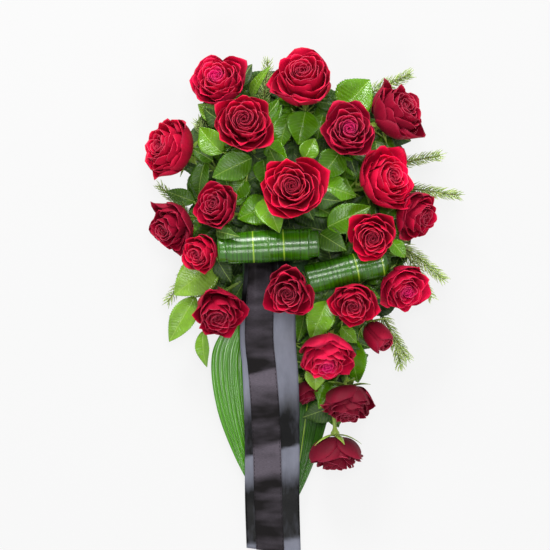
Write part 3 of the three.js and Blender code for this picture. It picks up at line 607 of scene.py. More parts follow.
def rose_leaf(name, back=False):
    """Rose leaf, grown: a waxy upper face with sunk veins, paler along the midrib, and a matt grey-green
    back. tone picks the shade, because old leaves are dark and glossy and young ones pale."""
    material, tree, shader = new_material(name, Specular_IOR_Level=0.36, Roughness=0.65)
    tone = add_node(tree, "Attribute", attribute_name="tone").outputs["Fac"]
    flat = add_node(tree, "Attribute", attribute_name="flat").outputs["Vector"]
    place = add_node(tree, "SeparateXYZ", flat)
    across = add_node(tree, "Math", place.outputs["X"], operation="ABSOLUTE")
    waver = add_node(tree, "TexNoise", named={"Vector": flat, "Scale": 0.12, "Detail": 2.0})
    # Side veins leave the midrib every 5 mm and run forwards.
    run = add_node(tree, "Math", across, -0.62, place.outputs["Y"], operation="MULTIPLY_ADD")
    run = add_node(tree, "Math", waver, 3.0, run, operation="MULTIPLY_ADD")
    nearest = add_node(tree, "Math", run, 2.5, operation="PINGPONG")
    vein = add_node(tree, "MapRange", nearest, 0.0, 0.55, 1.0, 0.0, interpolation_type="SMOOTHSTEP")
    midrib = add_node(tree, "MapRange", across, 0.2, 0.75, 1.0, 0.0, interpolation_type="SMOOTHSTEP")
    # The dark end of this range also colours the low leaves, where their darkness is painted shade.
    dark = add_node(tree, "MapRange", tone, 0.0, 0.5)
    pale = add_node(tree, "MapRange", tone, 0.5, 1.0)
    colour = add_node(tree, "MixRGB", dark, linear("#122a02"), linear("#4c7e02"))
    colour = add_node(tree, "MixRGB", pale, colour, linear("#7fa038"))
    cloud = add_node(tree, "TexNoise", named={"Vector": flat, "Scale": 0.09, "Detail": 3.0})
    patch = add_node(tree, "MapRange", cloud, 0.3, 0.7, 0.82, 1.18)
    colour = add_node(tree, "HueSaturation", named={"Value": patch, "Color": colour})
    soft = add_node(tree, "Math", vein, 0.28, operation="MULTIPLY")
    colour = add_node(tree, "MixRGB", soft, colour, linear("#7ea23c"))
    line = add_node(tree, "Math", midrib, 0.4, operation="MULTIPLY")
    colour = add_node(tree, "MixRGB", line, colour, linear("#a2bc5c"))
    if back:
        colour = add_node(tree, "MixRGB", 0.5, colour, linear("#8fa883"))
    tree.links.new(colour.outputs[0], shader.inputs["Base Color"])
    if not back:
        gloss = add_node(tree, "MapRange", tone, 0.1, 0.35, 0.5, 0.2)
        tree.links.new(gloss.outputs[0], shader.inputs["Roughness"])
    sunk = add_node(tree, "Math", vein, midrib, operation="MAXIMUM")
    fine = add_node(tree, "TexNoise", named={"Vector": flat, "Scale": 0.9, "Detail": 3.0})
    height = add_node(tree, "Math", sunk, -1.4, fine, operation="MULTIPLY_ADD")
    bump = add_node(tree, "Bump", named={"Strength": 0.5, "Distance": 0.0005, "Height": height})
    tree.links.new(bump.outputs[0], shader.inputs["Normal"])
    return material


def rose_stem(name):
    """Rose stem, sepals and hip, grown: smooth waxy skin, yellow-green where young, faintly streaked
    along its length."""
    material, tree, shader = new_material(name, Roughness=0.42)
    tone = add_node(tree, "Attribute", attribute_name="tone").outputs["Fac"]
    flat = add_node(tree, "Attribute", attribute_name="flat").outputs["Vector"]
    stretch = add_node(tree, "VectorMath", flat, (0.9, 0.06, 1.0), operation="MULTIPLY")
    streaks = add_node(tree, "TexNoise", named={"Vector": stretch, "Scale": 1.0, "Detail": 3.0})
    colour = add_node(tree, "MixRGB", tone, linear("#3f6a1c"), linear("#9fb64a"))
    shade = add_node(tree, "MapRange", streaks, 0.3, 0.7, 0.8, 1.15)
    colour = add_node(tree, "HueSaturation", named={"Value": shade, "Color": colour})
    tree.links.new(colour.outputs[0], shader.inputs["Base Color"])
    bump = add_node(tree, "Bump", named={"Strength": 0.3, "Distance": 0.0004, "Height": streaks})
    tree.links.new(bump.outputs[0], shader.inputs["Normal"])
    return material


def aspidistra(name, dark, light, contrast, roughness, specular, back=False):
    """Aspidistra leaf, grown: a leathery, very glossy blade with close parallel veins, which stand up as
    fine ribs, and a yellow-green midrib where flat x is 0. dark and light are the ends of its range,
    and contrast is how far its bands swing from them."""
    material, tree, shader = new_material(name, Roughness=roughness, Specular_IOR_Level=specular)
    tone = add_node(tree, "Attribute", attribute_name="tone").outputs["Fac"]
    flat = add_node(tree, "Attribute", attribute_name="flat").outputs["Vector"]
    place = add_node(tree, "SeparateXYZ", flat)
    across = add_node(tree, "Math", place.outputs["X"], operation="ABSOLUTE")
    # Veins about 1 mm apart, and bands 3 mm wide of several veins.
    fine_at = add_node(tree, "CombineXYZ", across, None, None)
    fine = add_node(tree, "TexNoise", named={"Vector": fine_at, "Scale": 0.9, "Detail": 2.0})
    broad_at = add_node(tree, "VectorMath", flat, (0.34, 0.006, 1.0), operation="MULTIPLY")
    broad = add_node(tree, "TexNoise", named={"Vector": broad_at, "Scale": 1.0, "Detail": 2.0})
    colour = add_node(tree, "MixRGB", tone, linear(dark), linear(light))
    shade = add_node(tree, "MapRange", fine, 0.35, 0.65, 0.75, 1.25)
    band = add_node(tree, "MapRange", broad, 0.34, 0.66, 1 - contrast, 1 + contrast)
    shade = add_node(tree, "Math", shade, band, operation="MULTIPLY")
    colour = add_node(tree, "HueSaturation", named={"Value": shade, "Color": colour})
    midrib = add_node(tree, "MapRange", across, 0.5, 1.3, 0.6, 0.0, interpolation_type="SMOOTHSTEP")
    colour = add_node(tree, "MixRGB", midrib, colour, linear("#9ebc34"))
    if back:
        colour = add_node(tree, "MixRGB", 0.3, colour, linear("#7fa83c"))
    tree.links.new(colour.outputs[0], shader.inputs["Base Color"])
    relief = add_node(tree, "Math", broad, 5.0, fine, operation="MULTIPLY_ADD")
    bump = add_node(tree, "Bump", named={"Strength": 0.35, "Distance": 0.0004, "Height": relief})
    tree.links.new(bump.outputs[0], shader.inputs["Normal"])
    return material


def spruce_needle(name):
    """Spruce needles, grown: waxy, mid green with a paler blue-green line, yellower at the young tips."""
    material, tree, shader = new_material(name, Roughness=0.45)
    tone = add_node(tree, "Attribute", attribute_name="tone").outputs["Fac"]
    place = add_node(tree, "SeparateXYZ", add_node(tree, "UVMap", uv_map="grid"))
    colour = add_node(tree, "MixRGB", tone, linear("#56802c"), linear("#a6bf62"))
    tip = add_node(tree, "MapRange", place.outputs["Y"], 0.2, 1.0, 0.0, 0.45)
    colour = add_node(tree, "MixRGB", tip, colour, linear("#c2cc84"))
    tree.links.new(colour.outputs[0], shader.inputs["Base Color"])
    return material


def spruce_bark(name):
    """Spruce twig, grown: orange-brown bark, ridged by the pegs that the needles stand on."""
    material, tree, shader = new_material(name, Roughness=0.75)
    where = add_node(tree, "TexCoord").outputs["Object"]
    pegs = add_node(tree, "TexVoronoi", named={"Vector": where, "Scale": 900.0})
    colour = add_node(tree, "MixRGB", pegs, linear("#7a5a2c"), linear("#4f5a24"))
    tree.links.new(colour.outputs[0], shader.inputs["Base Color"])
    bump = add_node(tree, "Bump", named={"Strength": 0.6, "Distance": 0.0005, "Height": pegs})
    tree.links.new(bump.outputs[0], shader.inputs["Normal"])
    return material


def satin_ribbon(name):
    """Black polyester satin, woven: long floating threads run across the ribbon. Its broad grey patches
    between the folds are painted sheen, a highlight painted into its colour from the tone and a noise."""
    material, tree, shader = new_material(name, Specular_IOR_Level=0.12)
    flat = add_node(tree, "Attribute", attribute_name="flat").outputs["Vector"]
    patch_at = add_node(tree, "VectorMath", flat, (0.035, 0.012, 1.0), operation="MULTIPLY")
    patches = add_node(
        tree, "TexNoise", named={"Vector": patch_at, "Scale": 1.0, "Detail": 4.0, "Roughness": 0.6}
    )
    # Threads 0.4 mm apart, drawn coarser than real satin so that they show.
    place = add_node(tree, "SeparateXYZ", flat)
    threads = add_node(tree, "Math", place.outputs["Y"], 0.2, operation="PINGPONG")
    # The tone and the noise mottle together are painted sheen: they lift the black towards grey.
    tone = add_node(tree, "Attribute", attribute_name="tone").outputs["Fac"]
    sheen_mottle = add_node(tree, "MapRange", patches, 0.3, 0.7, -0.25, 0.25)
    painted_sheen = add_node(tree, "Math", tone, sheen_mottle, operation="ADD", use_clamp=True)
    colour = add_node(tree, "MixRGB", painted_sheen, linear("#060607"), linear("#6a6c78"))
    weave = add_node(tree, "MapRange", threads, 0.0, 0.2, 0.85, 1.1)
    colour = add_node(tree, "HueSaturation", named={"Value": weave, "Color": colour})
    tree.links.new(colour.outputs[0], shader.inputs["Base Color"])
    gloss = add_node(tree, "MapRange", patches, 0.3, 0.7, 0.34, 0.48)
    tree.links.new(gloss.outputs[0], shader.inputs["Roughness"])
    bump = add_node(tree, "Bump", named={"Strength": 0.12, "Distance": 0.0002, "Height": threads})
    tree.links.new(bump.outputs[0], shader.inputs["Normal"])
    return material


def crepe_ribbon(name):
    """Black-brown crepe ribbon, woven: dull, with fine crosswise crinkles, a stitched edge and greyer patches
    of painted sheen.
    """
    material, tree, shader = new_material(name, Roughness=0.7, Specular_IOR_Level=0.12)
    flat = add_node(tree, "Attribute", attribute_name="flat").outputs["Vector"]
    place = add_node(tree, "SeparateXYZ", flat)
    crinkle_at = add_node(tree, "VectorMath", flat, (0.25, 1.3, 1.0), operation="MULTIPLY")
    crinkle = add_node(tree, "TexNoise", named={"Vector": crinkle_at, "Scale": 1.0, "Detail": 4.0})
    cloud_at = add_node(tree, "VectorMath", flat, (0.016, 0.045, 1.0), operation="MULTIPLY")
    cloud = add_node(tree, "TexNoise", named={"Vector": cloud_at, "Scale": 1.0, "Detail": 2.0})
    # The tone and the cloud mottle together are painted sheen, greyer patches painted into the colour.
    tone = add_node(tree, "Attribute", attribute_name="tone").outputs["Fac"]
    sheen_mottle = add_node(tree, "MapRange", cloud, 0.3, 0.7, -0.2, 0.5)
    painted_crepe_sheen = add_node(tree, "Math", tone, sheen_mottle, operation="ADD", use_clamp=True)
    colour = add_node(tree, "MixRGB", painted_crepe_sheen, linear("#0c090a"), linear("#4c464e"))
    shade = add_node(tree, "MapRange", crinkle, 0.3, 0.7, 0.75, 1.25)
    colour = add_node(tree, "HueSaturation", named={"Value": shade, "Color": colour})
    # Stitches 3 mm long in a row 1.6 mm in from each edge. flat x is measured from the middle.
    across = add_node(tree, "Math", place.outputs["X"], operation="ABSOLUTE")
    row = add_node(tree, "Math", across, RIBBON_NARROW / 2 - 1.6, 0.35, operation="COMPARE")
    dash = add_node(tree, "Math", place.outputs["Y"], 3.0, operation="PINGPONG")
    dash = add_node(tree, "Math", dash, 1.2, operation="GREATER_THAN")
    stitch = add_node(tree, "Math", row, dash, operation="MULTIPLY")
    colour = add_node(tree, "MixRGB", stitch, colour, linear("#0b0a0b"))
    tree.links.new(colour.outputs[0], shader.inputs["Base Color"])
    height = add_node(tree, "Math", stitch, -1.0, crinkle, operation="MULTIPLY_ADD")
    bump = add_node(tree, "Bump", named={"Strength": 0.4, "Distance": 0.0004, "Height": height})
    tree.links.new(bump.outputs[0], shader.inputs["Normal"])
    return material


def floral_foam(name):
    """Wet floral foam, blown phenolic: dark green, dull, and full of pores that show as a fine grain, each
    pore darker at its middle as painted shade.
    """
    material, tree, shader = new_material(name, Roughness=0.9)
    where = add_node(tree, "TexCoord").outputs["Object"]
    pores = add_node(tree, "TexVoronoi", named={"Vector": where, "Scale": 700.0})
    damp = add_node(tree, "TexNoise", named={"Vector": where, "Scale": 30.0, "Detail": 3.0})
    colour = add_node(tree, "MixRGB", damp, linear("#1d3a1c"), linear("#35592c"))
    # Darker in the middle of each pore: painted shade in the hollows.
    pore_shade = add_node(tree, "MapRange", pores, 0.0, 0.6, 0.6, 1.15)
    colour = add_node(tree, "HueSaturation", named={"Value": pore_shade, "Color": colour})
    tree.links.new(colour.outputs[0], shader.inputs["Base Color"])
    bump = add_node(tree, "Bump", named={"Strength": 0.7, "Distance": 0.0006, "Height": pores})
    tree.links.new(bump.outputs[0], shader.inputs["Normal"])
    return material


def tray_plastic(name):
    """Dark green polypropylene, injection moulded: half matt, with a fine spark-eroded grain and a few
    scuffs."""
    material, tree, shader = new_material(name)
    where = add_node(tree, "TexCoord").outputs["Object"]
    grain = add_node(tree, "TexNoise", named={"Vector": where, "Scale": 1800.0, "Detail": 2.0})
    scuffs = add_node(
        tree, "TexNoise", named={"Vector": where, "Scale": 45.0, "Detail": 5.0, "Roughness": 0.7}
    )
    colour = add_node(tree, "MixRGB", scuffs, linear("#12301c"), linear("#1d4428"))
    tree.links.new(colour.outputs[0], shader.inputs["Base Color"])
    gloss = add_node(tree, "MapRange", scuffs, 0.3, 0.7, 0.36, 0.56)
    tree.links.new(gloss.outputs[0], shader.inputs["Roughness"])
    bump = add_node(tree, "Bump", named={"Strength": 0.2, "Distance": 0.0002, "Height": grain})
    tree.links.new(bump.outputs[0], shader.inputs["Normal"])
    return material


def light_table(name, colour):
    """Opal acrylic of a light table: matt and pale, lit from below so that the shadows on it stay faint,
    with a faint tooth."""
    material, tree, shader = new_material(
        name, Roughness=0.9, Specular_IOR_Level=0.2, Base_Color=(*colour, 1.0),
        Emission_Color=linear("#ffffff"), Emission_Strength=0.82,
    )
    where = add_node(tree, "TexCoord").outputs["Object"]
    tooth = add_node(tree, "TexNoise", named={"Vector": where, "Scale": 800.0, "Detail": 2.0})
    bump = add_node(tree, "Bump", named={"Strength": 0.05, "Distance": 0.0001, "Height": tooth})
    tree.links.new(bump.outputs[0], shader.inputs["Normal"])
    return material


# Shapes.


def bloom_frame(rose):
    """A bloom's height, axis, side vectors and foot."""
    height = rose["radius"] * (BUD_HEIGHT if rose.get("bud") else BLOOM_HEIGHT)
    axis = axis_of(rose["tilt"], rose["heading"])
    right, up = sides(axis)
    base = np.array([rose["x"], rose["y"], rose["z"]], float) - axis * height / 2
    return height, axis, right, up, base


def bloom_petals(rose, seed, count):
    """Petals spiral out by the golden angle. Petal t, from 0 at the heart to 1 outside, spans an angle
    that narrows from a full wrap to a third of a turn. Its profile is a Bezier curve in radius and
    height from the foot, over a belly, to a rim that stands up at the heart and folds back outside.
    A rim runs straight from a blunt point in its middle to each side, as a chord of the bloom's round
    does, its side corners curl back, and it ruffles and crinkles."""
    rng = np.random.default_rng(seed)
    height, axis, right, up, base = bloom_frame(rose)
    radius = rose["radius"]
    flare = rose.get("flare", 1.0)  # how far an old bloom's petals curl and ruffle
    t = ((np.arange(count) + 0.5) / count)[:, None, None]
    v = np.linspace(0, 1, PETAL_POINTS)[None, :, None] ** 0.8
    u = np.linspace(-1, 1, PETAL_POINTS)[None, None, :]

    def vary(spread):
        """One draw for each petal, about nothing."""
        return rng.normal(0, spread, count)[:, None, None]

    turn = rng.uniform(0, PHASES) + GOLDEN_ANGLE * np.arange(count)[:, None, None] + vary(0.1) * (1 + 2 * t)
    # wrap is half the angle that a petal spans, in radians, rim, belly and rim_z are in millimetres, reach
    # is the rim's radius as a share of the bloom's, and fold is 1 where the rim folds back.
    if rose.get("bud"):
        wrap = lerp(1.9, 0.95, t)
        rim = radius * (0.12 + 0.6 * t) * (1 + vary(0.03))
        belly = radius * (0.45 + 0.5 * t)
        rim_z = height * (0.98 - 0.1 * t)
        fold = 0.25 * smooth((t - 0.6) / 0.4)
    else:
        wrap = (0.92 + 1.17 * (1 - smooth(t / 0.42))) * (1 + vary(0.08))
        reach = np.where(t < 0.42, 0.04 + 0.8 * t, 0.376 + 0.79 * ((t - 0.42).clip(0) / 0.58) ** 0.95)
        fold = smooth((t - 0.28) / 0.45)
        rim = radius * reach * (1 + vary(0.03) * (1 + fold))
        bowl = 0.1 + 0.62 * reach.clip(0, 1) ** 0.9 + 0.1 * reach**4
        belly = radius * lerp(0.01 + 0.9 * reach, bowl, smooth((reach - 0.25) / 0.25))
        rim_z = height * (0.97 - 0.33 * smooth((reach - 0.5) / 0.5) - 0.1 * (1 - smooth(t / 0.3)))
    rim_z = rim_z + vary(0.022) * height
    # A petal is shorter at its sides than in its middle.
    share = v * (1 - 0.2 * np.abs(u) ** 2.4)
    r = bezier([radius * 0.1 * (1 + t), belly * 1.05, lerp(belly * 0.95, rim * 0.89, fold), rim], share)
    shoulder = lerp(0.75 * height, rim_z + 0.13 * height, fold)
    z = bezier([0.01 * height + 0 * t, 0.05 * height + 0 * t, shoulder, rim_z], share)
    # cut is how far inside the round a straight rim lies, out to the corner, and more beyond it.
    aside = np.abs(wrap * (u - 0.2 * vary(1.0).clip(-1, 1) * fold))
    corner = 0.52 + vary(0.05)
    cut = 1 - np.cos(corner) / np.cos(corner - np.minimum(aside, corner)) + 0.25 * (aside - corner).clip(0)
    r = r * (1 - (0.4 + 0.8 * fold) * flare * cut * v**2) + radius * 0.03 * u * v
    # The side corners curl down, and waves of three sizes run along the rim.
    curl = radius * 0.14 * fold * flare**2 * (1 + vary(0.6))
    z = z - curl * np.abs(u) ** 3 * v**2
    ripple = radius * 0.03 * (0.35 + flare * fold + 0.7 * flare * fold**3) * v**3
    z = z + ripple * np.sin(3.4 * u + PHASES * rng.uniform(0, 1, (count, 1, 1)))
    r = r + 0.6 * ripple * np.sin(4.3 * u + PHASES * rng.uniform(0, 1, (count, 1, 1)))
    crinkle = radius * 0.008 * (0.3 + fold) * v**4
    z = z + crinkle * np.sin(11 * u + PHASES * rng.uniform(0, 1, (count, 1, 1)))
    # Shallow dents all over an open petal.
    phase = PHASES * rng.uniform(0, 1, (2, count, 1, 1))
    r = r + radius * 0.02 * flare * fold * v * np.sin(5.3 * u + phase[0]) * np.sin(6.5 * v + phase[1])
    # At the heart one side of each petal lies over the next.
    spiral = 0.07 * (1 - smooth(t / 0.4))
    r = r * (1 + spiral * u)
    angle = turn + wrap * u
    out = right * np.cos(angle)[..., None] + up * np.sin(angle)[..., None]
    points = base + axis * z[..., None] + out * r[..., None]
    across = u * wrap * radius * 0.6 + 40 * np.arange(count)[:, None, None]
    flat = np.stack(np.broadcast_arrays(across, v * radius * 1.2), axis=-1)
    return points, flat, rng.uniform(0, 1, (count, 1, 1)), t


def stem_points(rose):
    """The stem's line: out of the foam low down, then up into the bloom along the bloom's axis."""
    _, axis, _, _, base = bloom_frame(rose)
    root = np.array(rose["root"], float)
    top = base - 6 * axis
    way = top - root
    crook = rose.get("crook", 0.28) * np.linalg.norm(way)
    control = [root, root + way * [0.4, 0.4, 0.12], top - axis * crook, top]
    return control, bezier(control, np.linspace(0, 1, STEM_POINTS)[:, None])


def tube(points, radii, corners=10):
    """Rings round a path. radii holds one radius for each ring."""
    _, right, up = frames_along(points)
    angle = np.linspace(0, 2 * math.pi, corners, endpoint=False)[None, :, None]
    ring = right[:, None] * np.cos(angle) + up[:, None] * np.sin(angle)
    return points[:, None] + ring * np.reshape(radii, (-1, 1, 1))


def flat_of(points):
    """Distances in millimetres across, from the middle column, and along a grid."""
    across = np.cumsum(np.linalg.norm(np.diff(points, axis=1, prepend=points[:, :1]), axis=-1), axis=1)
    across = across - across[:, across.shape[1] // 2][:, None]
    middle = points[:, points.shape[1] // 2]
    along = np.cumsum(np.linalg.norm(np.diff(middle, axis=0, prepend=middle[:1]), axis=-1))
    return np.stack(np.broadcast_arrays(across, along[:, None]), axis=-1)


def leaf_blade(one, rng):
    """A rose leaf. Its spine is a quadratic Bezier curve from foot to tip, arched by `arch` of its
    length. Half its width is a sine bump with saw teeth on the edge, and it folds up along the midrib.
    The edge waves gently."""
    foot, tip = np.array(one["foot"], float), np.array(one["tip"], float)
    length = np.linalg.norm(tip - foot)
    along = unit(tip - foot)
    right, up = sides(along)
    roll = math.radians(one.get("roll", 0))
    across = right * math.cos(roll) + up * math.sin(roll)
    normal = np.cross(along, across)
    crest = lerp(foot, tip, 0.45) + normal * 2 * one.get("arch", 0.12) * length
    coarse = one.get("coarse", False)
    teeth = max(8, round(length / (4 if coarse else 3.2)))  # one for every so many millimetres
    share = np.linspace(0, 1, (2 if coarse else 4) * teeth + 1)[:, None]
    side = np.linspace(1, -1, 5 if coarse else 11)[None, :]
    spine = bezier([foot, crest, tip], share)
    body = np.sin(math.pi * share**0.8).clip(0) ** 0.85
    tooth = 1 + 0.075 * ((share * teeth) % 1 - 0.45) * np.abs(side) ** 6
    half = np.maximum(one["width"] / 2 * body, 0.45) * tooth
    rise = half * 0.36 * np.sqrt(side**2 + 0.01)
    phase = rng.uniform(0, PHASES, 2)
    wave = 0.035 * one["width"] * np.abs(side) ** 2 * np.sin(11 * share + phase[0] + 1.6 * np.sign(side))
    # The blade is quilted between its side veins, which leave the midrib every 5 mm and run forwards.
    vein = np.sin(2 * math.pi * (share * length / 5 - 0.62 * np.abs(side) * half / 5))
    quilt = 0.012 * one["width"] * vein * np.sin(math.pi * np.abs(side)) * body
    points = spine[:, None] + across * (side * half)[..., None] + normal * (rise + wave + quilt)[..., None]
    flat = np.stack(np.broadcast_arrays(side * half, share * length), axis=-1)
    return points, flat


def inside_outline(point):
    """True if a point is over the spray's body, so that a filler leaf there doesn't change its outline."""
    corners = np.array(OUTLINE, float)
    after = np.roll(corners, -1, axis=0)
    spans = (corners[:, 1] > point[1]) != (after[:, 1] > point[1])
    rise = np.where(after[:, 1] == corners[:, 1], 1.0, after[:, 1] - corners[:, 1])
    crossing = corners[:, 0] + (point[1] - corners[:, 1]) / rise * (after[:, 0] - corners[:, 0])
    return bool(np.sum(spans & (point[0] < crossing)) % 2)


def over_ribbon(point):
    """True if a point is over the ribbons, which no filler leaf covers."""
    return abs(point[0] - RIBBON_MIDDLE) < RIBBON_CLEAR and point[1] < RIBBON_TOP


def filler_leaves(rose, index, count):
    """Leaflets in threes, lower down between the blooms: each group leaves the stem alternately to its
    left and right, with one leaflet at its end and two beside it."""
    rng = np.random.default_rng(SEEDS["fillers"] + index)
    control, _ = stem_points(rose)
    leaves = []
    for k in range(count):
        on = lerp(0.34, 0.84, k / max(count - 1, 1)) + rng.uniform(-0.04, 0.04)
        drop = rng.uniform(0, 26)
        start = bezier(control, np.array([on]))
        ahead = bezier(control, np.array([on + 0.05])) - start
        heading = math.atan2(ahead[1], ahead[0]) + (1 if (k + index) % 2 else -1) * rng.uniform(0.6, 1.25)
        # Each leaflet's turn in radians, and its distance from the stem and length in millimetres.
        for turn, rachis, length in ((0.0, 24, 46), (0.95, 14, 36), (-0.95, 14, 36)):
            length = length * rng.uniform(0.85, 1.15)
            away = np.array([math.cos(heading + turn * 0.4), math.sin(heading + turn * 0.4), 0.0])
            aim = np.array([math.cos(heading + turn), math.sin(heading + turn), 0.0])
            foot = start + away * rachis + [0, 0, rng.uniform(2, 7) - drop]
            tip = foot + aim * length + [0, 0, rng.uniform(-8, 6)]
            for point in (foot, tip):
                if FOAM_LOW[0] < point[0] < FOAM_HIGH[0] and FOAM_LOW[1] < point[1] < FOAM_HIGH[1]:
                    point[2] = max(point[2], FOAM_HIGH[2] + FOAM_CLEAR)
                point[2] = max(point[2], LOWEST_LEAF)
            covers = over_ribbon(tip) or over_ribbon(foot)
            if inside_outline(tip) and inside_outline(foot) and not covers:
                # Their tone is drawn from the darker part of the range, 0 to 0.42: partly painted shade for
                # their low place between the blooms.
                leaves.append(dict(
                    on=on, foot=foot, tip=tip, width=length * rng.uniform(0.58, 0.72),
                    arch=rng.uniform(0.04, 0.12), roll=rng.uniform(-28, 28), tone=rng.uniform(0.0, 0.42),
                    coarse=True,
                ))
    return leaves


def under_leaves():
    """Low, dark leaves that close the spray towards the table; their darkness is painted shade, low under
    the blooms. One for each point of a triangular grid over its body, shifted a little at random, on the
    nearest stem. Returns a list for each rose."""
    rng = np.random.default_rng(SEEDS["under"])
    paths = np.array([stem_points(rose)[1] for rose in ROSES])
    leaves = [[] for _ in ROSES]
    for row, column in np.ndindex(*UNDER_LEAVES):
        middle = UNDER_CORNER + UNDER_STEP * [column + (row % 2) / 2, row] + rng.uniform(-5, 5, 2)
        if not inside_outline(middle):
            continue
        gaps = np.linalg.norm(paths[:, ENDS:-ENDS, :2] - middle, axis=2)
        owner, k = np.unravel_index(gaps.argmin(), gaps.shape)
        start = paths[owner, k + ENDS]
        away = middle - start[:2] + rng.uniform(-6, 6, 2)
        aim = np.append(away / np.linalg.norm(away), 0.0)
        low = float(np.clip(start[2] - 10, 18, 44)) + rng.uniform(-4, 4)
        if (FOAM_LOW[:2] < middle + 15).all() and (middle - 15 < FOAM_HIGH[:2]).all():
            low = FOAM_HIGH[2] + rng.uniform(FOAM_CLEAR, 2 * FOAM_CLEAR)
        centre = np.append(middle, low)
        if not inside_outline(centre + aim * 20) or (low > FOAM_HIGH[2] and over_ribbon(middle)):
            continue
        # tone 0 to 0.16, the darkest shades: painted shade for leaves that lie low under the blooms.
        leaves[owner].append(dict(
            on=(k + ENDS) / (STEM_POINTS - 1), foot=centre - aim * 25, tip=centre + aim * 27 - [0, 0, 2],
            width=rng.uniform(34, 40), arch=0.05, roll=rng.uniform(-14, 14), tone=rng.uniform(0, 0.16),
            coarse=True,
        ))
    return leaves


def rolled_leaf(spec):
    """The rolled sheet: rho grows from inner to outer radius as it winds by `turns` round the line."""
    start, end = np.array(spec["start"], float), np.array(spec["end"], float)
    way = end - start
    along = unit(way)
    right = unit(np.cross([0, 0, 1], along))
    up = np.cross(along, right)
    u = np.linspace(0, 1, 109)[:, None]
    w = np.linspace(0, 1, 45)[None, :]

    def edge(inner, outer, gain, shift):
        """An edge that eases from its inner place to its outer one as u grows."""
        return lerp(inner, outer, smooth(gain * u - shift))

    share = lerp(edge(*spec["low"]), edge(*spec["high"]), w)
    rho = lerp(spec["inner"], spec["outer"], u)
    # Long shallow waves of under 0.4 mm, as a soft leaf has where it is bent.
    rho = rho + 0.35 * np.sin(9 * share + 5 * u) + 0.25 * np.sin(23 * share - 3 * u)
    angle = np.radians(ROLL_END_ANGLE - 360 * spec["turns"] * (1 - u))
    out = right * np.cos(angle)[..., None] + up * np.sin(angle)[..., None]
    points = start + way * share[..., None] + out * rho[..., None]
    length = np.linalg.norm(way)
    gaps = np.stack([(share - place) * length for place in spec["midribs"]])
    nearest = np.take_along_axis(gaps, np.abs(gaps).argmin(axis=0)[None], axis=0)[0]
    flat = np.stack(np.broadcast_arrays(nearest, rho * 6.28 * spec["turns"] * u), axis=-1)
    place, root = spec["stalk"]
    top = start + way * place - up * (spec["outer"] - 1.2)
    root = np.array(root, float)
    bend = np.array([top[0], top[1], (root[2] + top[2]) / 2])
    stalk = bezier([root, bend, top], np.linspace(0, 1, 16)[:, None])
    return points, flat, stalk


def blade_leaf(spec):
    """A long hanging blade: half its width is a skewed sine bump, its sides rise in a shallow V, and the
    whole blade leans to one side by `lean`."""
    t = np.concatenate([np.linspace(0, spec["start"], 8)[:-1], np.linspace(spec["start"], 1, 90)])[:, None]
    side = np.linspace(-1, 1, 31)[None, :]
    centre = catmull(spec["line"], t[:, 0])
    share = (t - spec["start"]) / (1 - spec["start"])
    body = np.sin(math.pi * np.clip(share, 0, 1) ** 0.72).clip(0) ** 0.8
    half = np.maximum(spec["width"] / 2 * body, 1.1)
    wave = 0.6 * np.sin(9 * share + 2 * side) * np.abs(side) * body
    x = centre[:, :1] + side * half
    y = centre[:, 1:2] + 0 * side
    z = centre[:, 2:] + half * (4 / 46) * np.sqrt(side**2 + 0.004) - side * half * spec["lean"] / 46 + wave
    points = np.stack([x, y, z], axis=-1)
    flat = np.stack(np.broadcast_arrays(side * spec["width"] / 2, share * 330), axis=-1)
    return points, flat


def ribbon_cloth(width, edge_low, lift, drift, sheen):
    """A ribbon laid along RIBBON_LINE. It is tucked in at the top end in pleats, a triangle wave whose
    height fades out down its length, and small folds and crinkles run across it. Its cut end slants.
    sheen lists the patches of painted sheen, highlights painted into the ribbon's colour through the tone it
    returns: where a patch begins along the ribbon, over what length it grows, where it ends, over what
    length it fades, and how strong it is."""
    rng = np.random.default_rng(SEEDS["ribbons"])
    rows, columns = RIBBON_GRID
    t = np.linspace(0, 1, rows)
    centre = catmull(RIBBON_LINE, t)
    tangent = unit(np.gradient(centre, axis=0))
    normal = unit(-np.cross([1.0, 0.0, 0.0], tangent))
    place = t * (len(RIBBON_LINE) - 1)
    s = edge_low + width * np.linspace(0, 1, columns)[None, :] + drift * smooth((place - 6) / 5)[:, None]
    # How steep the pleats stand: they fade out over 125 mm from y = 20 downwards.
    pleat = 0.62 * (1 - smooth((20 - centre[:, 1]) / 125))[:, None]
    strip = RIBBON_WIDE / RIBBON_PLEATS
    squeeze = np.sqrt(1 - pleat**2)
    fold = np.abs((((s + RIBBON_WIDE / 2) / strip + 1) % 2) - 1)
    fold = lerp(fold, smooth(fold), 0.5)
    cut = 12 * smooth(place - 10)[:, None] * (s + RIBBON_WIDE / 2) / RIBBON_WIDE
    along = np.cumsum(np.linalg.norm(np.diff(centre, axis=0, prepend=centre[:1]), axis=-1))[:, None]
    phase = rng.uniform(0, PHASES, 6)
    rumple = (
        0.35 * np.sin(along / 15 + s / 14 + phase[0]) * np.sin(along / 47 + phase[1])
        + 0.2 * np.sin(along / 6.3 - s / 19 + phase[2]) * np.sin(along / 31 + s / 40 + phase[3])
        + 0.25 * np.sin(s / 7 + along / 60 + phase[4])
    )
    rise = lift + (fold - 0.5) * strip * pleat + rumple * smooth(along / 60)
    points = (
        centre[:, None] + np.array([1.0, 0, 0]) * (s * squeeze)[..., None] + normal[:, None] * rise[..., None]
        + tangent[:, None] * cut[..., None]
    )
    across = np.broadcast_to(width * (np.linspace(0, 1, columns)[None, :] - 0.5), s.shape)
    flat = np.stack(np.broadcast_arrays(across, along), axis=-1)
    slant = along + 0.25 * s
    # tone is the painted sheen: how far each point's colour is lightened as a painted highlight.
    tone = sum(
        strength * smooth((slant - begin) / rise_over) * (1 - smooth((slant - stop) / fade_over))
        for begin, rise_over, stop, fade_over, strength in sheen
    )
    return points, flat, tone, float(along[-1, 0])


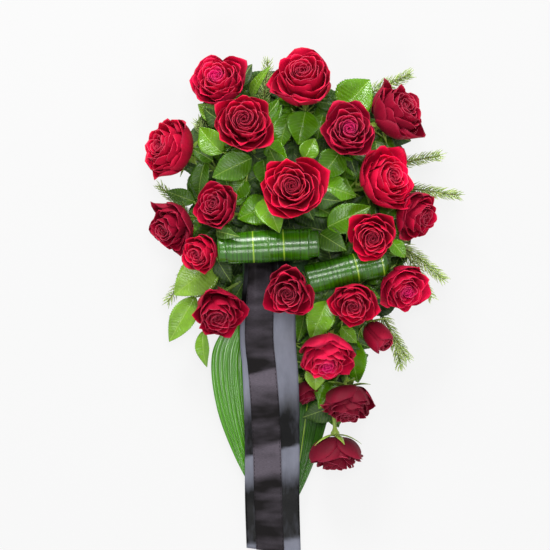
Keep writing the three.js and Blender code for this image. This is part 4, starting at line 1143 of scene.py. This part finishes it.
def spruce_needles(line, bare, thickness, length, count, rng):
    """A twig along its line and its needles, which spiral round it and lean forwards. Each needle is a
    slim four-sided spike with a slight bend."""
    path = catmull(line, np.linspace(0, 1, 28))
    radii = thickness * np.linspace(1.1, 0.45, 28)
    wood = tube(path, radii, 8)
    share = bare + (1 - bare) * (np.arange(count) + rng.uniform(0, 1, count)) / count
    centre = catmull(line, share)
    tangent = unit(catmull(line, np.minimum(share + 0.004, 1)) - catmull(line, share - 0.004))
    right, up = sides(tangent)
    angle = (GOLDEN_ANGLE * np.arange(count) + rng.normal(0, 0.25, count))[:, None]
    out = right * np.cos(angle) + up * np.sin(angle)
    # Needles spread more to the sides than up, as a spruce spray does.
    out = unit(out * (1 + 0.25 * np.abs(np.cos(angle))))
    size = (length * rng.uniform(0.8, 1.15, count) * lerp(1, 0.65, (share - bare) / (1 - bare)))[:, None]
    lean = rng.uniform(0.55, 1.0, count)[:, None]
    foot = centre + out * thickness * 0.4
    bend = foot + (out + tangent * lean * 0.6) * size * 0.5
    tip = centre + out * 0.72 * size + tangent * (0.4 + 0.6 * lean) * size
    steps = np.array([0, 0.35, 0.8])  # shares of a needle's length
    spine = np.stack([bezier([foot, bend, tip], s) for s in steps], axis=1)
    aim = unit(tip - foot)
    a, b = sides(aim)
    width = np.array([0.5, 0.62, 0.42])[None, :, None, None]  # mm, at each step
    corner = np.arange(4) * math.pi / 2
    ring = a[:, None, :] * np.cos(corner)[None, :, None] + b[:, None, :] * np.sin(corner)[None, :, None]
    spikes = spine[:, :, None, :] + ring[:, None] * width
    return wood, spikes, tip


# Settings.


class BloomSettings(bpy.types.PropertyGroup):
    """The roses' petals."""

    petals: IntProperty(name="Petals", description="Petals of a large bloom", default=38, min=12, max=60)
    small_petals: IntProperty(name="Petals, small", description="Petals of a small bloom", default=30, min=8)
    bud_petals: IntProperty(name="Petals, bud", description="Petals of a closed bud", default=11, min=5)
    thickness: FloatProperty(
        name="Petal thickness", description="In millimetres", default=0.45, min=0.1, max=2.0
    )


class GreenSettings(bpy.types.PropertyGroup):
    """The stems, leaves and spruce."""

    stem_radius: FloatProperty(name="Stem radius", description="In millimetres", default=2.4, min=1, max=5)
    leaf_thickness: FloatProperty(name="Leaf thickness", description="In millimetres", default=0.45, min=0.1)
    fillers: IntProperty(name="Fillers", description="Groups of leaflets on each stem", default=6, min=0)
    needles: IntProperty(name="Needles", description="Needles on each 100 mm of twig", default=145, min=20)
    needle_length: FloatProperty(name="Needle length", description="In millimetres", default=16.5, min=4)


class RibbonSettings(bpy.types.PropertyGroup):
    """The two ribbons."""

    thickness: FloatProperty(name="Ribbon thickness", description="In millimetres", default=0.35, min=0.1)


class StageSettings(bpy.types.PropertyGroup):
    """Floor, light and camera."""

    floor_colour: FloatVectorProperty(
        name="Floor", description="Colour of the unlit table", subtype="COLOR", default=linear("#454545")[:3]
    )
    ambient: FloatProperty(name="Ambient light", description="Strength of the world light", default=1.0)
    key_power: FloatProperty(
        name="Key light", description="Power of the large soft light", default=62.0, unit="POWER"
    )
    camera_height: FloatProperty(
        name="Camera height", description="Above the floor", default=2.5, unit="LENGTH"
    )
    field_half_width: FloatProperty(
        name="Field", description="Half the view's width for each metre of distance", default=0.158787
    )


# Operators.


class SPRAY_OT_blooms(bpy.types.Operator):
    """Makes the 22 rose blooms, petal by petal"""

    bl_idname = "spray.add_blooms"
    bl_label = "Add rose blooms"

    def execute(self, context):
        settings = context.scene.spray_blooms
        skins = {}
        for finish, (outer, heart) in PETAL_FINISHES.items():
            skins[finish] = [
                velvet_petal("rose_petal_" + finish, outer, heart),
                velvet_petal("rose_petal_back_" + finish, outer, heart, back=True),
            ]
        for index, rose in enumerate(ROSES):
            name = f"rose_{index + 1:02d}_bloom"
            count = settings.petals if rose["radius"] >= SMALL_BLOOM else settings.small_petals
            if rose.get("bud"):
                count = settings.bud_petals
            points, flat, tone, layer = bloom_petals(rose, SEEDS["blooms"] + index, count)
            patches = Patches()
            patches.add(points, flat, tone=tone, layer=layer, turn=True)
            patches.build(
                name + "_petals", skins[rose["finish"]], [name], settings.thickness, back=True
            )
        return {"FINISHED"}


class SPRAY_OT_stems(bpy.types.Operator):
    """Makes each rose's stem, hip, sepals and leaves"""

    bl_idname = "spray.add_stems"
    bl_label = "Add rose stems and leaves"

    def execute(self, context):
        settings = context.scene.spray_greens
        leaf_top, leaf_back = rose_leaf("rose_leaf_waxy"), rose_leaf("rose_leaf_back", back=True)
        skin = rose_stem("rose_stem_waxy")
        lower = under_leaves()
        for index, rose in enumerate(ROSES):
            rng = np.random.default_rng(SEEDS["stems"] + index)
            name = f"rose_{index + 1:02d}_stem"
            patches = Patches()
            self.add_stem(patches, rose, settings, rng)
            for one in rose.get("leaves", []):
                self.add_leaf(patches, rose, one, rng)
            for one in filler_leaves(rose, index, settings.fillers) + lower[index]:
                self.add_leaf(patches, rose, one, rng)
            patches.build(
                name + "_green", [leaf_top, leaf_back, skin, skin], [name],
                settings.leaf_thickness, back=True,
            )
        return {"FINISHED"}

    def add_stem(self, patches, rose, settings, rng):
        """The stem is a tube, the hip a turned urn and the sepals narrow pointed blades, whose half width
        is a skewed sine bump."""
        _, axis, right, up, base = bloom_frame(rose)
        _, path = stem_points(rose)
        tone = rng.uniform(0.2, 0.6)
        stem = tube(path, np.full(len(path), settings.stem_radius), 10)
        patches.add(stem[None], flat_of(stem), tone=tone, slot=2, wrap=True, turn=True)
        # The hip's radii, and how far below the bloom they lie, in millimetres.
        neck = rose["radius"] * 0.15
        radii = np.array([2.2, 2.6, 0.62 * neck, 0.95 * neck, neck, 0.8 * neck, 0.1])
        lift = np.array([-15, -12.5, -9, -6, -3.6, -1.2, -0.6])
        hip = tube(base + axis * lift[:, None], radii, 14)
        patches.add(hip[None], flat_of(hip), tone=tone + 0.2, slot=2, wrap=True, turn=True)
        reach = rose["radius"] * rose.get("sepals", 0.62)
        rise = reach * rose.get("clasp", 0)
        s = np.linspace(0, 1, 15)[:, None]
        side = np.linspace(-1, 1, 5)[None, :]
        for k in range(5):
            turn = 2 * math.pi * k / 5
            out = right * math.cos(turn) + up * math.sin(turn)
            wide = np.cross(axis, out)
            r = lerp(0.75 * neck, reach, s)
            z = -3.0 + rise * s**1.4 - 2.2 * np.sin(math.pi * s) * rng.uniform(0.4, 1.2)
            half = np.maximum(0.13 * reach * np.sin(math.pi * s**0.55).clip(0) ** 0.9, 0.35)
            cup = 0.35 * half * side**2
            points = (
                base + out * r[..., None] + axis * (z + cup)[..., None] + wide * (side * half)[..., None]
            )
            patches.add(points[None], flat_of(points), tone=tone + 0.15, slot=2, turn=True)

    def add_leaf(self, patches, rose, one, rng):
        """The blade and the stalk that joins it to the stem."""
        points, flat = leaf_blade(one, rng)
        # Drawn for every leaf, so that a shade set in the table leaves the later draws alone.
        drawn = rng.uniform(0.12, 0.62)
        tone = one.get("tone", drawn)
        patches.add(points[None], flat, tone=tone)
        control, _ = stem_points(rose)
        start = bezier(control, np.array([one["on"]]))
        foot = points[2, points.shape[1] // 2]
        path = bezier([start, lerp(start, foot, 0.5), foot], np.linspace(0, 1, 8)[:, None])
        stalk = tube(path, np.full(len(path), STALK_RADIUS), 6)
        patches.add(stalk[None], flat_of(stalk), tone=STALK_TONE, slot=2, wrap=True, turn=True)


class SPRAY_OT_rolls(bpy.types.Operator):
    """Makes the two rolled aspidistra leaves"""

    bl_idname = "spray.add_rolls"
    bl_label = "Add rolled leaves"

    def execute(self, context):
        top = aspidistra("aspidistra_glossy", *ROLL_FINISH)
        back = aspidistra("aspidistra_back", *ROLL_FINISH, back=True)
        for name, spec in ROLLS.items():
            points, flat, stalk_path = rolled_leaf(spec)
            patches = Patches()
            patches.add(points[None], flat, tone=0.75, turn=True)
            stalk = tube(stalk_path, np.full(len(stalk_path), ROLL_STALK_RADIUS), 10)
            patches.add(stalk[None], flat_of(stalk), tone=0.5, wrap=True, turn=True)
            patches.build(name + "_sheet", [top, back], [name], THICK_LEAF, back=True)
        return {"FINISHED"}


class SPRAY_OT_blades(bpy.types.Operator):
    """Makes the two long aspidistra blades"""

    bl_idname = "spray.add_blades"
    bl_label = "Add long blades"

    def execute(self, context):
        top = aspidistra("aspidistra_blade", *BLADE_FINISH)
        back = aspidistra("aspidistra_blade_back", *BLADE_FINISH, back=True)
        for name, spec in BLADES.items():
            points, flat = blade_leaf(spec)
            patches = Patches()
            patches.add(points[None], flat, tone=spec["tone"], turn=True)
            patches.build(name + "_leaf", [top, back], [name], THICK_LEAF, back=True)
        return {"FINISHED"}


class SPRAY_OT_spruce(bpy.types.Operator):
    """Makes the spruce twigs, needle by needle"""

    bl_idname = "spray.add_spruce"
    bl_label = "Add spruce"

    def execute(self, context):
        settings = context.scene.spray_greens
        materials = [spruce_needle("spruce_needle_waxy"), spruce_bark("spruce_bark")]
        for index, (name, spec) in enumerate(SPRUCE.items()):
            rng = np.random.default_rng(SEEDS["spruce"] + index)
            patches = Patches()
            twigs = [(spec, 1.5, settings.needle_length)]
            twigs += [(arm, 1.2, settings.needle_length - 1) for arm in spec.get("arms", [])]
            for twig, thickness, length in twigs:
                path = catmull(twig["line"], np.linspace(0, 1, 20))
                reach = np.sum(np.linalg.norm(np.diff(path, axis=0), axis=1))
                count = int(reach * (1 - twig["bare"]) * settings.needles / 100)
                wood, spikes, tips = spruce_needles(twig["line"], twig["bare"], thickness, length, count, rng)
                patches.add(wood[None], slot=1, wrap=True, turn=True)
                patches.add(spikes, tone=rng.uniform(0, 1, (count, 1, 1)), wrap=True, turn=True, tips=tips)
            patches.build(name + "_needles", materials, [name])
        return {"FINISHED"}


class SPRAY_OT_ribbons(bpy.types.Operator):
    """Lays the wide satin ribbon and the narrow crepe one"""

    bl_idname = "spray.add_ribbons"
    bl_label = "Add ribbons"

    def execute(self, context):
        thickness = context.scene.spray_ribbons.thickness
        # Name, width, left edge, height over the line, drift to the right, material and slot.
        satin, crepe = satin_ribbon("black_satin"), crepe_ribbon("black_crepe")
        sheets = [
            ("ribbon_wide", RIBBON_WIDE, -RIBBON_WIDE / 2, 0.0, 0, satin, "satin_ribbon"),
            ("ribbon_narrow", RIBBON_NARROW, -32, 1.8, 7, crepe, "sheer_ribbon"),
        ]
        for name, width, low, lift, drift, material, slot_name in sheets:
            points, flat, tone, length = ribbon_cloth(width, low, lift, drift, RIBBON_SHEEN[name])
            patches = Patches()
            patches.add(points[None], flat, tone=tone, turn=True)
            piece = patches.build(name + "_cloth", [material], [name], thickness)
        return {"FINISHED"}


class SPRAY_OT_holder(bpy.types.Operator):
    """Gives the foam brick and the tray their finishes"""

    bl_idname = "spray.dress_holder"
    bl_label = "Dress foam and tray"

    def execute(self, context):
        finishes = {"foam": floral_foam("floral_foam_wet"), "tray": tray_plastic("tray_polypropylene")}
        for node, material in finishes.items():
            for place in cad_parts[node].material_slots:
                place.material = material
        return {"FINISHED"}


class SPRAY_OT_stage(bpy.types.Operator):
    """Makes the light table, the soft light and the camera"""

    bl_idname = "spray.add_stage"
    bl_label = "Add stage"

    def execute(self, context):
        settings = context.scene.spray_stage
        scene = context.scene
        mesh = bpy.data.meshes.new("floor")
        corners = [(x * FLOOR_REACH, y * FLOOR_REACH, 0) for x, y in ((-1, -1), (1, -1), (1, 1), (-1, 1))]
        mesh.from_pydata(corners, [], [(0, 1, 2, 3)])
        mesh.materials.append(light_table("opal_acrylic", settings.floor_colour))
        floor = bpy.data.objects.new("floor", mesh)
        scene.collection.objects.link(floor)
        world = bpy.data.worlds.new("studio")
        world.use_nodes = True
        sky = world.node_tree.nodes["Background"]
        # Bright walls and a dark ceiling: light comes in from all sides, and glossy faces that look up
        # stay deep in colour.
        tree = world.node_tree
        height = add_node(tree, "SeparateXYZ", add_node(tree, "TexCoord").outputs["Generated"]).outputs["Z"]
        glow = add_node(
            tree, "MapRange", height, 0.6, 0.93, settings.ambient, settings.ambient * 0.08,
            interpolation_type="SMOOTHSTEP",
        )
        sky.inputs["Color"].default_value = linear("#ffffff")
        tree.links.new(glow.outputs[0], sky.inputs["Strength"])
        scene.world = world
        for name, (place, size, share) in LIGHTS.items():
            lamp = bpy.data.lights.new(name, "AREA")
            lamp.size = size
            lamp.energy = settings.key_power * share
            light = bpy.data.objects.new(name, lamp)
            light.location = place
            aim = -np.array(place)
            light.rotation_euler = (
                math.atan2(math.hypot(aim[0], aim[1]), -aim[2]), 0, math.atan2(aim[1], aim[0]) - math.pi / 2,
            )
            scene.collection.objects.link(light)
        lens = bpy.data.cameras.new("camera")
        lens.angle = 2 * math.atan(settings.field_half_width)
        camera = bpy.data.objects.new("camera", lens)
        camera.location = (ORIGIN[0], ORIGIN[1], settings.camera_height)
        scene.collection.objects.link(camera)
        scene.camera = camera
        scene.view_settings.view_transform = "Standard"
        return {"FINISHED"}


class SPRAY_PT_panel(bpy.types.Panel):
    """Lists the steps that make the spray"""

    bl_label = "Rose Spray"
    bl_idname = "SPRAY_PT_panel"
    bl_space_type = "VIEW_3D"
    bl_region_type = "UI"
    bl_category = "Rose Spray"

    def draw(self, context):
        for operator in OPERATORS:
            self.layout.operator(operator.bl_idname)
        for name, group in SETTINGS.items():
            box = self.layout.box()
            for key in group.__annotations__:
                box.prop(getattr(context.scene, name), key)


SETTINGS = {
    "spray_blooms": BloomSettings,
    "spray_greens": GreenSettings,
    "spray_ribbons": RibbonSettings,
    "spray_stage": StageSettings,
}
OPERATORS = [
    SPRAY_OT_blooms,
    SPRAY_OT_stems,
    SPRAY_OT_rolls,
    SPRAY_OT_blades,
    SPRAY_OT_spruce,
    SPRAY_OT_ribbons,
    SPRAY_OT_holder,
    SPRAY_OT_stage,
]


def register():
    """Registers the settings, the operators and the panel."""
    for group in (*SETTINGS.values(), *OPERATORS, SPRAY_PT_panel):
        bpy.utils.register_class(group)
    for name, group in SETTINGS.items():
        setattr(bpy.types.Scene, name, PointerProperty(type=group))


def unregister():
    """Takes back what register did."""
    for name in SETTINGS:
        delattr(bpy.types.Scene, name)
    for group in reversed((*SETTINGS.values(), *OPERATORS, SPRAY_PT_panel)):
        bpy.utils.unregister_class(group)


def main():
    """Makes the whole scene."""
    register()
    bpy.ops.spray.add_stage()
    bpy.ops.spray.add_blooms()
    bpy.ops.spray.add_stems()
    bpy.ops.spray.add_rolls()
    bpy.ops.spray.add_blades()
    bpy.ops.spray.add_spruce()
    bpy.ops.spray.add_ribbons()
    bpy.ops.spray.dress_holder()


if __name__ == "__main__":
    main()
